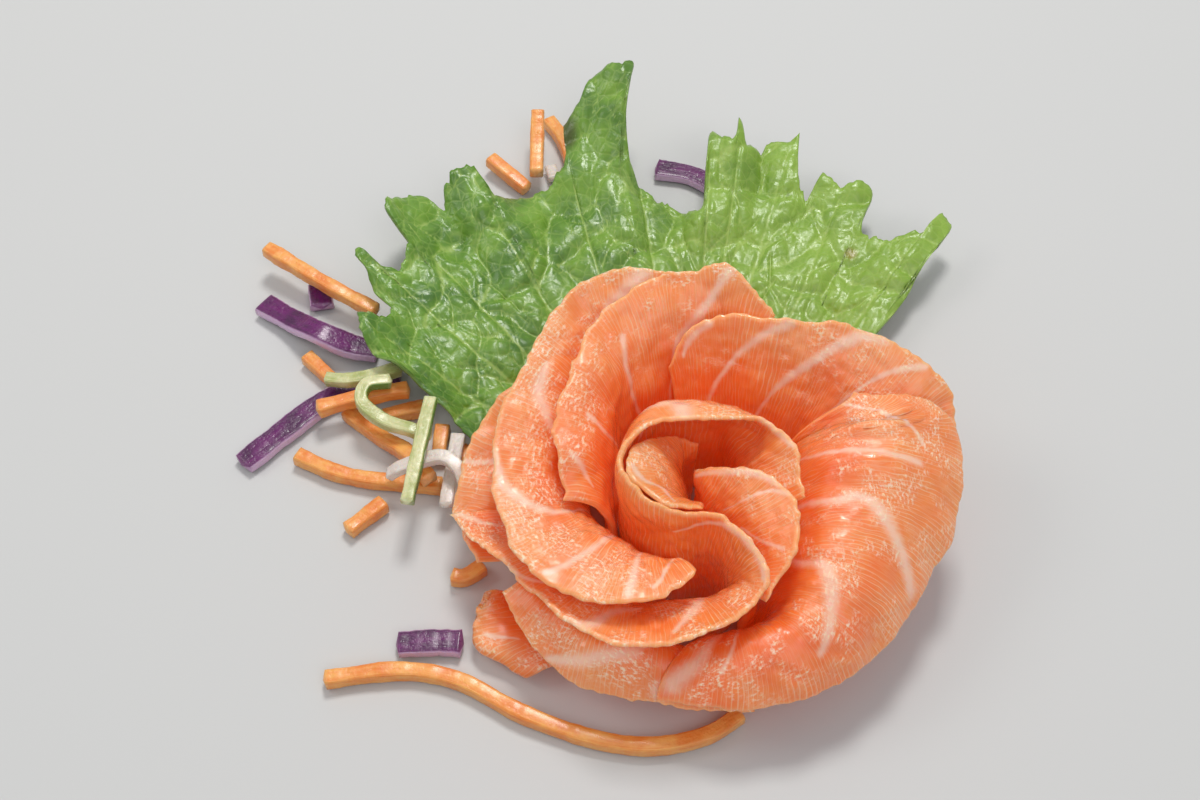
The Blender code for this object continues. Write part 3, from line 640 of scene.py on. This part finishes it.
            (-30.0, 27.0, 18.0, -19.6, 22.2),
        ],
        rise=(4, 8, 10, 12),
        swell=(0, 0, 0, 0),
        lip=(9, 12, 12, 9),
        lean=(10, 6, 12, 24),
        fat=[
            [(21.4, 19, 0.5), (20.1, 21, 0.6), (19.7, 23.5, 0.5)],
            [(32, 8, 0.4), (31, 16, 0.7), (33, 22, 0.8)],
            [(8, 8, 0.3), (9, 14, 0.6), (8, 19, 0.6)],
        ],
    ),
    "under": dict(
        node="petal_under",
        stations=[
            (-36.2, -12.6, 7.6, -33.2, -10.6),
            (-37.6, -16.0, 4.6, -31.6, -14.4),
            (-38.0, -19.2, 2.6, -29.4, -17.8),
            (-34.4, -22.0, 2.0, -27.0, -20.6),
            (-29.6, -25.4, 1.8, -23.4, -23.2),
        ],
        rise=(7, 7, 7, 6),
        swell=(0, 0, 0, 0),
        lip=(3, 4, 4, 3),
        lean=(10, -15, -20, -15),
        fat=[
            [(10.8, 6.1, 0.3), (9.2, 8.3, 0.4), (8.3, 10.2, 0.4)],
        ],
    ),
}


# At each place along a slice a cubic curve climbs from its foot on the ground to its rim: straight up
# by "rise" and out by "swell" at first, and along "lip" at the slope "lean" at last. The sheet sways a
# little along its normals, thins towards rim and ends, and its edge is ragged and rounded.
def slicePiece(name, sizes, seed):
    make = sliceMake
    curve, share, length = evenCurve(sizes["stations"], make["step"])
    rim, foot = curve[:, :3], np.column_stack([curve[:, 3:], np.zeros(len(curve))])
    outward = np.column_stack([leftOf((rim[:, :2] + foot[:, :2]) / 2), np.zeros(len(curve))])
    up = np.array([0.0, 0.0, 1.0])
    lean = np.radians(spread(sizes["lean"], share))
    low = foot + up * spread(sizes["rise"], share) + outward * spread(sizes["swell"], share)
    high = rim - spread(sizes["lip"], share) * (outward * np.cos(lean) + up * np.sin(lean))
    edge = unevenness(share * length, 0, 9, seed) + 0.5 * unevenness(share * length, 0, 2.6, seed + 1)
    ragged = rim + (outward * np.cos(lean) + up * np.sin(lean)) * (make["edgeWave"] * edge)[:, None]
    even = np.linspace(0, 1, make["rows"])
    v = (1 - (1 - even) ** make["rowCrowding"])[:, None, None]
    grid = (1 - v) ** 3 * foot + 3 * v * (1 - v) ** 2 * low + 3 * v**2 * (1 - v) * high + v**3 * ragged
    climbed = np.cumsum(np.linalg.norm(np.diff(grid, axis=0), axis=2), axis=0)
    climb = np.concatenate([np.zeros((1, len(curve))), climbed])
    fromRim = climb[-1] - climb
    along = np.broadcast_to(share * length, climb.shape)
    fromEnd = np.minimum(along, length - along)
    (slow, slowWave), (fast, fastWave) = make["slowSway"], make["fastSway"]
    sway = slow * unevenness(along, climb, slowWave, seed + 2) + fast * unevenness(along, climb, fastWave, seed + 3)
    grid = grid + normalsOf(grid) * (sway * np.minimum(climb / 4, 1))[..., None]
    thin = 1 - make["endThinning"] * np.abs(2 * share - 1) ** 8
    thickness = (make["thickness"] + (make["rimThickness"] - make["thickness"]) * v[..., 0] ** 2) * thin
    nearEdge = np.clip(np.minimum(fromRim, fromEnd) / make["edgeRound"], 0, 1)
    thickness = thickness * np.maximum(np.sqrt(1 - (1 - nearEdge) ** 2), make["leastEdge"])
    wide = (1, 1, make["fatWidth"])
    lines = [curveAt(line, np.linspace(0, len(line) - 1, 4 * len(line))) * wide for line in sizes["fat"]]
    facing = np.abs(normalsOf(grid)[..., 2])
    attributes = {
        "fatLine": lineDistance(along, climb, lines),
        "height": climb / climb[-1].max(),
        # Near the rim and ends: the paler cut edge, partly a painted highlight.
        "cutEdgeSheen": np.clip(1 - np.minimum(fromRim, fromEnd) / make["cutEdgeWidth"], 0, 1),
        # Where the slice faces up: there the painted highlights glint and the wet relief is deeper.
        "wetSheen": np.interp(facing, make["wetSheenSlope"], (0, 1)),
    }
    uv = np.stack([along, climb], -1) / 100
    return sheetPiece(name, grid, grid, thickness, sizes["node"], salmon, uv, attributes)


for number, (name, sizes) in enumerate(slices.items()):
    slicePiece("salmon_" + name, sizes, 10 * number + 3)
print("salmon slices made")


# Lettuce leaf

leafMake = dict(
    thickness=0.9,
    thinEdge=(0.3, 1.5),
    columns=400,
    crowding=(0.4, 1.5),
    rows=118,
    footHeight=0.7,
    middleHeight=5.0,
    wave=0.7,
    inner=[(51, 29), (120, 30), (135, 32), (155, 36)],
    evenedOver=4,
    tallBend=dict(degrees=4.5, start=76, length=28, at=100.5, width=6),
    teeth=((0.35, 2.2, 31), (0.3, 0.9, 32)),  # height, wavelength in degrees, seed
    pillows=((1.4, 2.2, 11, 61), (0.4, 1.4, 5, 62), (0.06, 0.6, 2.5, 63)),  # height, rounding, spacing, seed
    netBend=1.6,
    pillowDrop=0.9,
    ribGroove=(0.4, 2.2),
    ruffle=1.2,
    paleAt=((55, 85, 105, 150), (0.8, 0.7, 0.3, 0.15)),
    olivePatch=(-24.4, 89.5, 2.0, 3.6),
    brownSpot=(30.9, 62.4, 1.2),
)
# The ribs end at these directions, in degrees round the rose, and reaches.
leafTips = [
    (146.4, 75), (137.4, 85), (130.2, 88), (119.5, 89), (106.5, 84), (97.3, 101),
    (87.2, 86), (83.4, 88), (77.0, 90), (68.6, 83), (60.5, 74), (55.4, 83),
]
# The edge as (direction, reach, height).
leafEdge = [
    (51.5, 53.7, 7.9), (51.6, 55.4, 7.9), (51.8, 59.2, 7.9), (51.9, 62.3, 7.9), (52.0, 66.2, 8.0),
    (52.0, 67.1, 8.0), (52.6, 70.2, 8.0), (52.7, 74.4, 8.0), (52.8, 78.7, 8.1), (52.9, 83.8, 8.1),
    (53.8, 85.8, 8.5), (55.4, 86.3, 9.7), (55.5, 82.6, 9.7), (55.6, 79.2, 9.7), (56.9, 78.7, 9.5),
    (58.5, 76.9, 8.2), (59.2, 75.0, 8.0), (62.2, 74.4, 6.8), (63.6, 74.8, 7.5), (64.2, 77.5, 7.6),
    (64.4, 81.9, 7.6), (64.5, 84.5, 7.6), (65.2, 85.9, 7.7), (67.0, 85.6, 9.2), (68.8, 83.3, 9.7),
    (70.3, 84.3, 9.1), (71.9, 85.6, 8.2), (72.5, 82.6, 8.1), (73.0, 79.1, 8.2), (74.3, 80.8, 9.4),
    (75.1, 83.9, 10.2), (75.7, 88.9, 10.5), (76.1, 93.2, 10.7), (76.6, 92.1, 10.8), (78.0, 91.2, 10.4),
    (79.4, 91.6, 8.9), (80.1, 90.0, 8.8), (80.4, 87.3, 9.0), (81.6, 87.8, 11.5), (82.7, 87.6, 13.6),
    (83.2, 90.4, 13.9), (83.8, 92.5, 14.0), (83.9, 88.6, 14.0), (84.5, 86.4, 13.9), (86.1, 88.4, 12.2),
    (87.0, 89.8, 12.0), (87.5, 89.2, 11.9), (87.6, 86.1, 11.9), (87.7, 83.6, 11.9), (87.8, 82.2, 11.9),
    (87.9, 78.6, 11.9), (88.0, 74.3, 11.9), (88.8, 70.8, 11.9), (91.3, 74.3, 5.5), (95.1, 76.9, 7.0),
    (97.6, 80.1, 8.8), (99.0, 84.1, 14.7), (99.5, 88.2, 16.6), (99.9, 91.9, 16.9), (100.0, 94.9, 17.0),
    (100.1, 97.0, 17.0), (100.2, 99.1, 17.0), (100.3, 101.9, 17.0), (100.7, 103.6, 17.0), (101.4, 103.3, 17.6),
    (101.5, 101.9, 17.6), (102.8, 103.1, 17.4), (103.9, 102.5, 15.9), (104.5, 100.3, 15.1), (104.9, 97.4, 14.4),
    (105.6, 96.1, 12.8), (106.4, 95.0, 11.3), (106.5, 92.9, 11.1), (106.6, 89.1, 11.0), (107.3, 86.4, 9.8),
    (109.8, 83.4, 7.0), (111.9, 83.8, 5.5), (115.2, 84.0, 7.8), (118.0, 82.7, 13.1), (118.2, 87.0, 13.1),
    (118.3, 90.8, 13.1), (120.0, 90.7, 13.8), (121.4, 91.4, 13.3), (122.1, 89.6, 12.8), (122.8, 90.2, 12.0),
    (124.0, 86.6, 9.9), (124.6, 88.7, 9.5), (125.1, 91.4, 9.3), (127.8, 92.4, 11.8), (130.7, 91.3, 13.8),
    (131.5, 90.1, 13.7), (131.6, 87.8, 13.7), (131.7, 85.9, 13.7), (131.8, 81.6, 13.7), (132.1, 82.0, 13.6),
    (133.5, 80.5, 12.5), (135.5, 78.4, 11.8), (137.2, 81.4, 12.3), (137.3, 85.2, 12.3), (137.5, 87.5, 12.2),
    (138.6, 86.2, 12.0), (138.8, 83.2, 11.9), (140.3, 78.9, 10.7), (140.8, 73.7, 10.4), (142.0, 72.8, 10.0),
    (144.2, 72.8, 11.1), (144.3, 75.1, 11.1), (145.9, 76.2, 11.4), (148.4, 72.2, 10.8), (149.6, 68.6, 10.6),
    (149.7, 60.2, 10.5), (150.9, 52.4, 10.3), (154.7, 45.5, 8.6),
]


# How far each point is from the border between its nearest two of some seeded points.
def netDistance(x, y, spacing, seed):
    dice = np.random.default_rng(seed)
    nx, ny = np.arange(x.min(), x.max() + spacing, spacing), np.arange(y.min(), y.max() + spacing, spacing)
    centres = np.stack(np.meshgrid(nx, ny), -1).reshape(-1, 2)
    centres = centres + dice.uniform(-0.42, 0.42, centres.shape) * spacing
    first = np.full(x.shape, 1e9)
    second = np.full(x.shape, 1e9)
    for cx, cy in centres:
        gap = np.hypot(x - cx, y - cy)
        second = np.minimum(second, np.maximum(first, gap))
        first = np.minimum(first, gap)
    return (second - first) / 2


ribMake = dict(start=33, straightAt=103, lean=0.12, short=2, widths=(0.45, 0.32, 0.15), branch=0.75, branchLong=0.28)


# A rib from the rose to each lobe's tip, leaning with the tip's distance from the straight one, with
# branches at both sides that bend towards the tip and grow shorter along it.
def leafRibs():
    make = ribMake
    dice = np.random.default_rng(21)
    lines = []
    for at, reach in leafTips:
        near, turn = make["start"], math.radians(at)
        rootTurn = turn - math.radians(make["lean"] * (at - make["straightAt"]))
        root = np.array([math.cos(rootTurn), math.sin(rootTurn)]) * near
        tip = np.array([math.cos(turn), math.sin(turn)]) * (reach - make["short"])
        middle = root * 0.5 + tip * 0.5 + dice.uniform(-1, 1, 2)
        lines.append([(*place, width) for place, width in zip((root, middle, tip), make["widths"])])
        along = math.atan2(tip[1] - root[1], tip[0] - root[0])
        for step, share in enumerate(np.arange(0.2, 0.9, 0.2)):
            start = root + (tip - root) * share
            side = make["branch"] if step % 2 else -make["branch"]
            length = (reach - near) * make["branchLong"] * (1.1 - share) + 4
            points = [(*start, 0.24)]
            for part, swing in ((0.5, side), (1.0, side * 0.7)):
                heading = along + swing + dice.uniform(-0.12, 0.12)
                reached = start + length * part * np.array([math.cos(heading), math.sin(heading)])
                points.append((*reached, 0.2 - 0.1 * part))
            lines.append(points)
    return lines


# Columns at even steps round the leaf's edge, closer where the edge runs steeply in or out.
def leafDirections(count):
    at, reaches, _ = np.transpose(leafEdge)
    dense = np.linspace(at[-1], at[0], 6000)
    outward, around = leafMake["crowding"]
    steps = outward * np.abs(np.diff(np.interp(dense, at, reaches))) + around * np.abs(np.diff(dense))
    gone = np.concatenate([[0], np.cumsum(steps)])
    return np.interp(np.linspace(0, steps.sum(), count), gone, dense)


# The leaf's height at a share of the way out: a quarter sine from foot to middle, a small wave, and a
# lift to the edge with the cube of the share.
def leafHeight(out, turn, edgeHeight):
    make = leafMake
    foot, middle = make["footHeight"], make["middleHeight"]
    wave = make["wave"] * np.sin(3 * np.pi * out) * np.sin(12.6 * turn + 2 * out)
    climb = foot + (middle - foot) * np.sin(np.pi / 2 * np.minimum(out, 1))
    return climb + wave + (edgeHeight - middle) * np.clip(out, 0, 1.08) ** 3 / 1.15


# Polar grid round the rose, its outer row on the toothed edge, with the tall lobe bent to the right.
# Heights follow an evened-out edge, so that they pass smoothly from lobe to lobe. Pillows of three
# sizes bulge between the veins, and the edge is ruffled.
def leafPiece():
    make = leafMake
    at, reaches, heights = np.transpose(leafEdge)
    direction = leafDirections(make["columns"])
    reach, edgeHeight = np.interp(direction, at, reaches), np.interp(direction, at, heights)
    teeth = sum(unevenness(direction, 0, wavelength, seed) * height for height, wavelength, seed in make["teeth"])
    inner = np.interp(direction, *np.transpose(make["inner"]))
    v = np.linspace(0, 1, make["rows"])[:, None]
    distance = inner + (reach + teeth - inner) * v
    lobe = make["tallBend"]
    bent = np.exp(-(((direction - lobe["at"]) / lobe["width"]) ** 2))
    bend = lobe["degrees"] * np.clip((distance - lobe["start"]) / lobe["length"], 0, 1) ** 1.5 * bent
    turn = np.radians(direction - bend)
    near = np.exp(-(((direction[:, None] - direction[None]) / make["evenedOver"]) ** 2))
    evenReach = (near * reach).sum(1) / near.sum(1)
    x, y = distance * np.cos(turn), distance * np.sin(turn)
    height = leafHeight((distance - inner) / (evenReach - inner), turn, edgeHeight)
    evenTurn, evenDistance = np.radians(direction)[None], inner + (evenReach - inner) * v
    evenHeight = leafHeight(v, evenTurn, edgeHeight)
    smooth = np.stack([evenDistance * np.cos(evenTurn), evenDistance * np.sin(evenTurn), evenHeight], -1)
    bentX, bentY = (place + make["netBend"] * unevenness(x, y, 13, seed) for place, seed in ((x, 41), (y, 42)))
    nets = [netDistance(bentX, bentY, spacing, seed) for _, _, spacing, seed in make["pillows"]]
    pillow = sum(high * (1 - np.exp(-net / soft)) for net, (high, soft, _, _) in zip(nets, make["pillows"]))
    rib = lineDistance(x, y, leafRibs())
    grooveDepth, grooveWidth = make["ribGroove"]
    groove = grooveDepth * np.exp(-((rib / grooveWidth) ** 2))
    ruffle = make["ruffle"] * v**6 * unevenness(x, y, 14, 43)
    grid = np.stack([x, y, height], -1)
    grid[..., 2] += (pillow - groove - make["pillowDrop"]) * np.minimum(v * 4, 1) + ruffle
    grid[..., 2] = np.maximum(grid[..., 2], make["footHeight"] * 0.7)
    fromEdge = (1 - v) * (reach - inner)
    least, thinWidth = make["thinEdge"]
    thickness = np.full(x.shape, make["thickness"]) * np.clip(least + fromEdge / thinWidth, 0, 1)
    wide, middle, small = nets
    netVein = np.minimum(middle / 0.16 + 0.45, small / 0.1 + 0.8)
    oliveX, oliveY, oliveWide, oliveLong = make["olivePatch"]
    brownX, brownY, brownSize = make["brownSpot"]
    attributes = {
        "vein": np.minimum(np.minimum(rib, wide / 0.22 + 0.1), netVein),
        "olive": np.exp(-(((x - oliveX) / oliveWide) ** 2 + ((y - oliveY) / oliveLong) ** 2) ** 2),
        "brown": np.exp(-((np.hypot(x - brownX, y - brownY) / brownSize) ** 4)),
        "pale": np.broadcast_to(np.interp(direction, *make["paleAt"]), x.shape),
    }
    uv = np.stack([x, y], -1) / 100
    return sheetPiece("lettuce_leaf_blade", grid, smooth, thickness, "lettuce_leaf", lettuce, uv, attributes)


leafPiece()
print("lettuce leaf made")


# Shreds

shredMake = dict(
    step=0.5, aroundPoints=32, squareness=5.5, size=0.92, slowWave=(0.06, 9), fastWave=(0.025, 2),
    endRound=0.5, leastEnd=0.05, paleEnd=0.8,
)
# The middle line of each shred as (x, y, height).
shreds = {
    "carrot_long": ("carrot", [(-64.2, -26.2, 1.6), (-51.5, -24.6, 1.6), (-41.5, -26.4, 1.6), (-31.0, -32.2, 1.6),
                               (-19.5, -36.6, 1.6), (-9.8, -38.0, 1.6), (-0.8, -36.2, 1.6), (5.5, -32.2, 1.6)]),
    "carrot_far_left": ("carrot", [(-83.5, 64.0, 6.0), (-70.9, 55.5, 5.2), (-60.5, 49.6, 4.0)]),
    "carrot_short_left": ("carrot", [(-73.8, 41.0, 1.6), (-68.0, 35.0, 1.6)]),
    "carrot_thin_tip": ("carrot", [(-70.0, 26.2, 5.0), (-64.8, 28.0, 5.0), (-58.5, 29.8, 5.0), (-53.0, 30.8, 5.0)]),
    "carrot_sloping": ("carrot", [(-65.3, 28.3, 1.6), (-58.4, 22.4, 1.8), (-52.3, 16.6, 4.6), (-48.0, 10.6, 5.3)]),
    "carrot_stub": ("carrot", [(-58.4, 26.8, 1.6), (-54.6, 28.0, 1.6), (-50.1, 29.0, 1.6)]),
    "carrot_curved": ("carrot", [(-73.4, 18.5, 1.6), (-66.2, 14.9, 1.6), (-59.8, 13.2, 1.6), (-53.5, 12.6, 1.6),
                                 (-46.0, 11.8, 1.6)]),
    "carrot_low": ("carrot", [(-62.8, 2.3, 1.6), (-59.0, 5.9, 1.6), (-56.2, 8.5, 1.6)]),
    "carrot_upright": ("carrot", [(-46.9, 25.0, 1.6), (-47.2, 21.0, 1.6), (-47.3, 17.0, 1.6)]),
    "carrot_by_rose": ("carrot", [(-44.1, 17.2, 1.5), (-41.3, 20.0, 1.5)]),
    "carrot_curl": ("carrot", [(-44.0, -6.6, 1.6), (-41.4, -6.8, 1.6), (-38.0, -4.4, 1.6)]),
    "carrot_back_low": ("carrot", [(-40.9, 90.7, 3.0), (-36.5, 86.5, 2.4), (-32.6, 83.0, 1.6)]),
    "carrot_back_tall": ("carrot", [(-30.8, 99.1, 8.4), (-30.9, 90.6, 5.8), (-30.9, 84.0, 5.0)]),
    "carrot_back_right": ("carrot", [(-29.0, 102.9, 1.6), (-25.8, 97.1, 1.6), (-23.6, 88.6, 1.6)]),
    "cucumber_upper": ("cucumber", [(-69.2, 33.2, 5.0), (-64.2, 32.6, 5.4), (-58.3, 33.8, 5.8), (-55.0, 35.6, 5.2)]),
    "cucumber_hook": ("cucumber", [(-56.0, 30.6, 8.0), (-60.5, 29.4, 8.4), (-61.1, 25.6, 8.2), (-57.1, 22.4, 7.0),
                                   (-51.8, 20.2, 7.3), (-48.4, 19.4, 5.8)]),
    "cucumber_front": ("cucumber", [(-48.3, 24.8, 11.0), (-49.2, 17.8, 11.1), (-51.3, 2.6, 10.4)]),
    "radish_upright": ("radish", [(-43.7, 21.4, 4.2), (-44.2, 16.0, 4.6), (-45.2, 5.5, 4.6)]),
    "radish_arch": ("radish", [(-55.8, 12.2, 4.8), (-52.6, 12.3, 7.6), (-46.2, 13.6, 8.6), (-42.9, 11.2, 8.4),
                               (-41.4, 7.8, 7.0)]),
    "radish_back": ("radish", [(-28.4, 90.1, 1.4), (-27.2, 85.8, 1.4)]),
    "cabbage_far_left": ("red_cabbage", [(-83.5, 53.7, 1.4), (-76.5, 48.4, 2.6), (-71.3, 44.2, 4.8), (-65.3, 42.4, 2.8),
                                         (-60.0, 42.2, 1.4)]),
    "cabbage_stub": ("red_cabbage", [(-72.9, 58.6, 1.4), (-71.8, 52.4, 1.4)]),
    "cabbage_long_left": ("red_cabbage", [(-83.0, 16.4, 1.4), (-76.2, 23.6, 1.4), (-69.2, 30.4, 1.4),
                                          (-61.0, 34.8, 1.4), (-55.5, 36.2, 1.4)]),
    "cabbage_front": ("red_cabbage", [(-52.5, -19.6, 1.4), (-46.0, -19.2, 1.4), (-41.0, -19.4, 1.4)]),
    "cabbage_back": ("red_cabbage", [(-6.7, 89.1, 1.4), (0.5, 87.4, 1.4), (6.1, 83.8, 1.4)]),
}


# A rounded square section, x and y to the power "squareness" adding up to one, carried along the middle
# line and drawn in at both ends, with a slow and a quick unevenness in its size.
def shredPiece(node, kind, line, seed):
    make = shredMake
    width, height = kinds[kind]["width"], kinds[kind]["height"]
    path, share, length = evenCurve(line, make["step"])
    heading = np.gradient(path, axis=0)
    heading /= np.linalg.norm(heading, axis=1, keepdims=True)
    side = np.column_stack([leftOf(path[:, :2]), np.zeros(len(path))])
    top = np.cross(heading, side)
    angle = np.linspace(0, 2 * np.pi, make["aroundPoints"], endpoint=False)
    power = 2 / make["squareness"]
    across = np.sign(np.cos(angle)) * np.abs(np.cos(angle)) ** power
    upward = np.sign(np.sin(angle)) * np.abs(np.sin(angle)) ** power
    fromEnd = np.minimum(share, 1 - share) * length
    close = np.sqrt(1 - (1 - np.clip(fromEnd / make["endRound"], 0, 1)) ** 2)
    (slow, slowWave), (fast, fastWave) = make["slowWave"], make["fastWave"]
    along = share * length
    uneven = slow * unevenness(along, 0, slowWave, seed) + fast * unevenness(along, 0, fastWave, seed + 50)
    size = (make["size"] + uneven) * np.maximum(close, make["leastEnd"])
    offset = side[:, None] * (across * width / 2)[None, :, None] + top[:, None] * (upward * height / 2)[None, :, None]
    rings = path[:, None] + offset * size[:, None, None]
    count, around = rings.shape[:2]
    index = np.arange(count * around).reshape(count, around)
    turned = np.roll(index, -1, axis=1)
    faces = np.stack([index[:-1], turned[:-1], turned[1:], index[1:]], -1).reshape(-1, 4)
    start = np.stack([np.full(around, count * around), turned[0], index[0]], -1)
    stop = np.stack([np.full(around, count * around + 1), index[-1], turned[-1]], -1)
    points = np.concatenate([rings.reshape(-1, 3), path[[0, -1]]])
    triangles = np.concatenate([faces[:, [0, 1, 2]], faces[:, [0, 2, 3]], start, stop])
    uv = np.stack(np.broadcast_arrays(along[:, None], angle[None] * (width + height) / 3.14), -1) / 100
    uv = np.concatenate([uv.reshape(-1, 2), [[0, 0], [length / 100, 0]]])
    end = np.concatenate([np.repeat(np.clip(1 - fromEnd / make["paleEnd"], 0, 1), around), [1, 1]])
    flank = np.concatenate([np.tile(across, count), [0, 0]])
    attributes = {"end": end, "flank": np.abs(flank) if kind == "red_cabbage" else flank}
    return finishPiece(node + "_strip", points, triangles, node, shredLooks[kind], uv, attributes)


for number, (node, (kind, line)) in enumerate(shreds.items()):
    shredPiece(node, kind, line, 500 + number)
print("shreds made")


# Floor, lights and camera

floorMake = dict(half=3, colour=(0.6, 0.6, 0.59, 1), roughness=0.7)


# A plain square floor.
def stage():
    half = floorMake["half"]
    mesh = bpy.data.meshes.new("floor")
    corners = [(-half, -half, 0), (half, -half, 0), (half, half, 0), (-half, half, 0)]
    mesh.from_pydata(corners, [], [(0, 1, 2, 3)])
    made, _, _ = newMaterial("paleFloor", Base_Color=floorMake["colour"], Roughness=floorMake["roughness"])
    mesh.materials.append(made)
    floor = bpy.data.objects.new("floor", mesh)
    bpy.context.scene.collection.objects.link(floor)


lights = {
    "overhead": dict(place=(0.05, 0.36, 0.74), size=0.2, power=3.4, colour=(1, 0.99, 0.97)),
    "left": dict(place=(-0.6, 0.1, 0.6), size=0.3, power=0.9, colour=(1, 0.98, 0.95)),
    "front": dict(place=(0.2, -0.5, 0.7), size=0.5, power=1.3, colour=(0.98, 0.98, 1)),
}
skyMake = dict(Color=(0.95, 0.97, 1, 1), Strength=0.46)


# Turns a thing so that it looks from its place at the target: the tilt comes from the level distance
# over the drop, the turn from the heading less a quarter.
def aimed(obj, place, target):
    direction = np.array(target) - np.array(place)
    obj.location = place
    flat = math.hypot(direction[0], direction[1])
    obj.rotation_euler = (math.atan2(flat, -direction[2]), 0, math.atan2(direction[1], direction[0]) - math.pi / 2)


# Three square lamps aimed at the food, and an even sky.
def addLights():
    for name, make in lights.items():
        data = bpy.data.lights.new(name, "AREA")
        data.size = make["size"]
        data.energy = make["power"]
        data.color = make["colour"]
        lamp = bpy.data.objects.new(name, data)
        bpy.context.scene.collection.objects.link(lamp)
        aimed(lamp, make["place"], (0, 0, 0.01))
    world = bpy.data.worlds.new("studio")
    bpy.context.scene.world = world
    world.use_nodes = True
    for key, value in skyMake.items():
        world.node_tree.nodes["Background"].inputs[key].default_value = value


cameraAt = dict(place=(-18.0, -147.31, 255.95), tilt=35, lens=50, sensor=36)


# The photo's camera: its place in millimetres round the rose, tilted up from straight down.
def addCamera():
    data = bpy.data.cameras.new("camera")
    data.lens = cameraAt["lens"]
    data.sensor_width = cameraAt["sensor"]
    data.clip_start = 0.01
    camera = bpy.data.objects.new("camera", data)
    x, y, z = cameraAt["place"]
    camera.location = ((x + roseAt[0]) * mm, (y + roseAt[1]) * mm, z * mm)
    camera.rotation_euler = (math.radians(cameraAt["tilt"]), 0, 0)
    bpy.context.scene.collection.objects.link(camera)
    bpy.context.scene.camera = camera


stage()
addLights()
addCamera()
bpy.context.scene.view_settings.view_transform = "Standard"
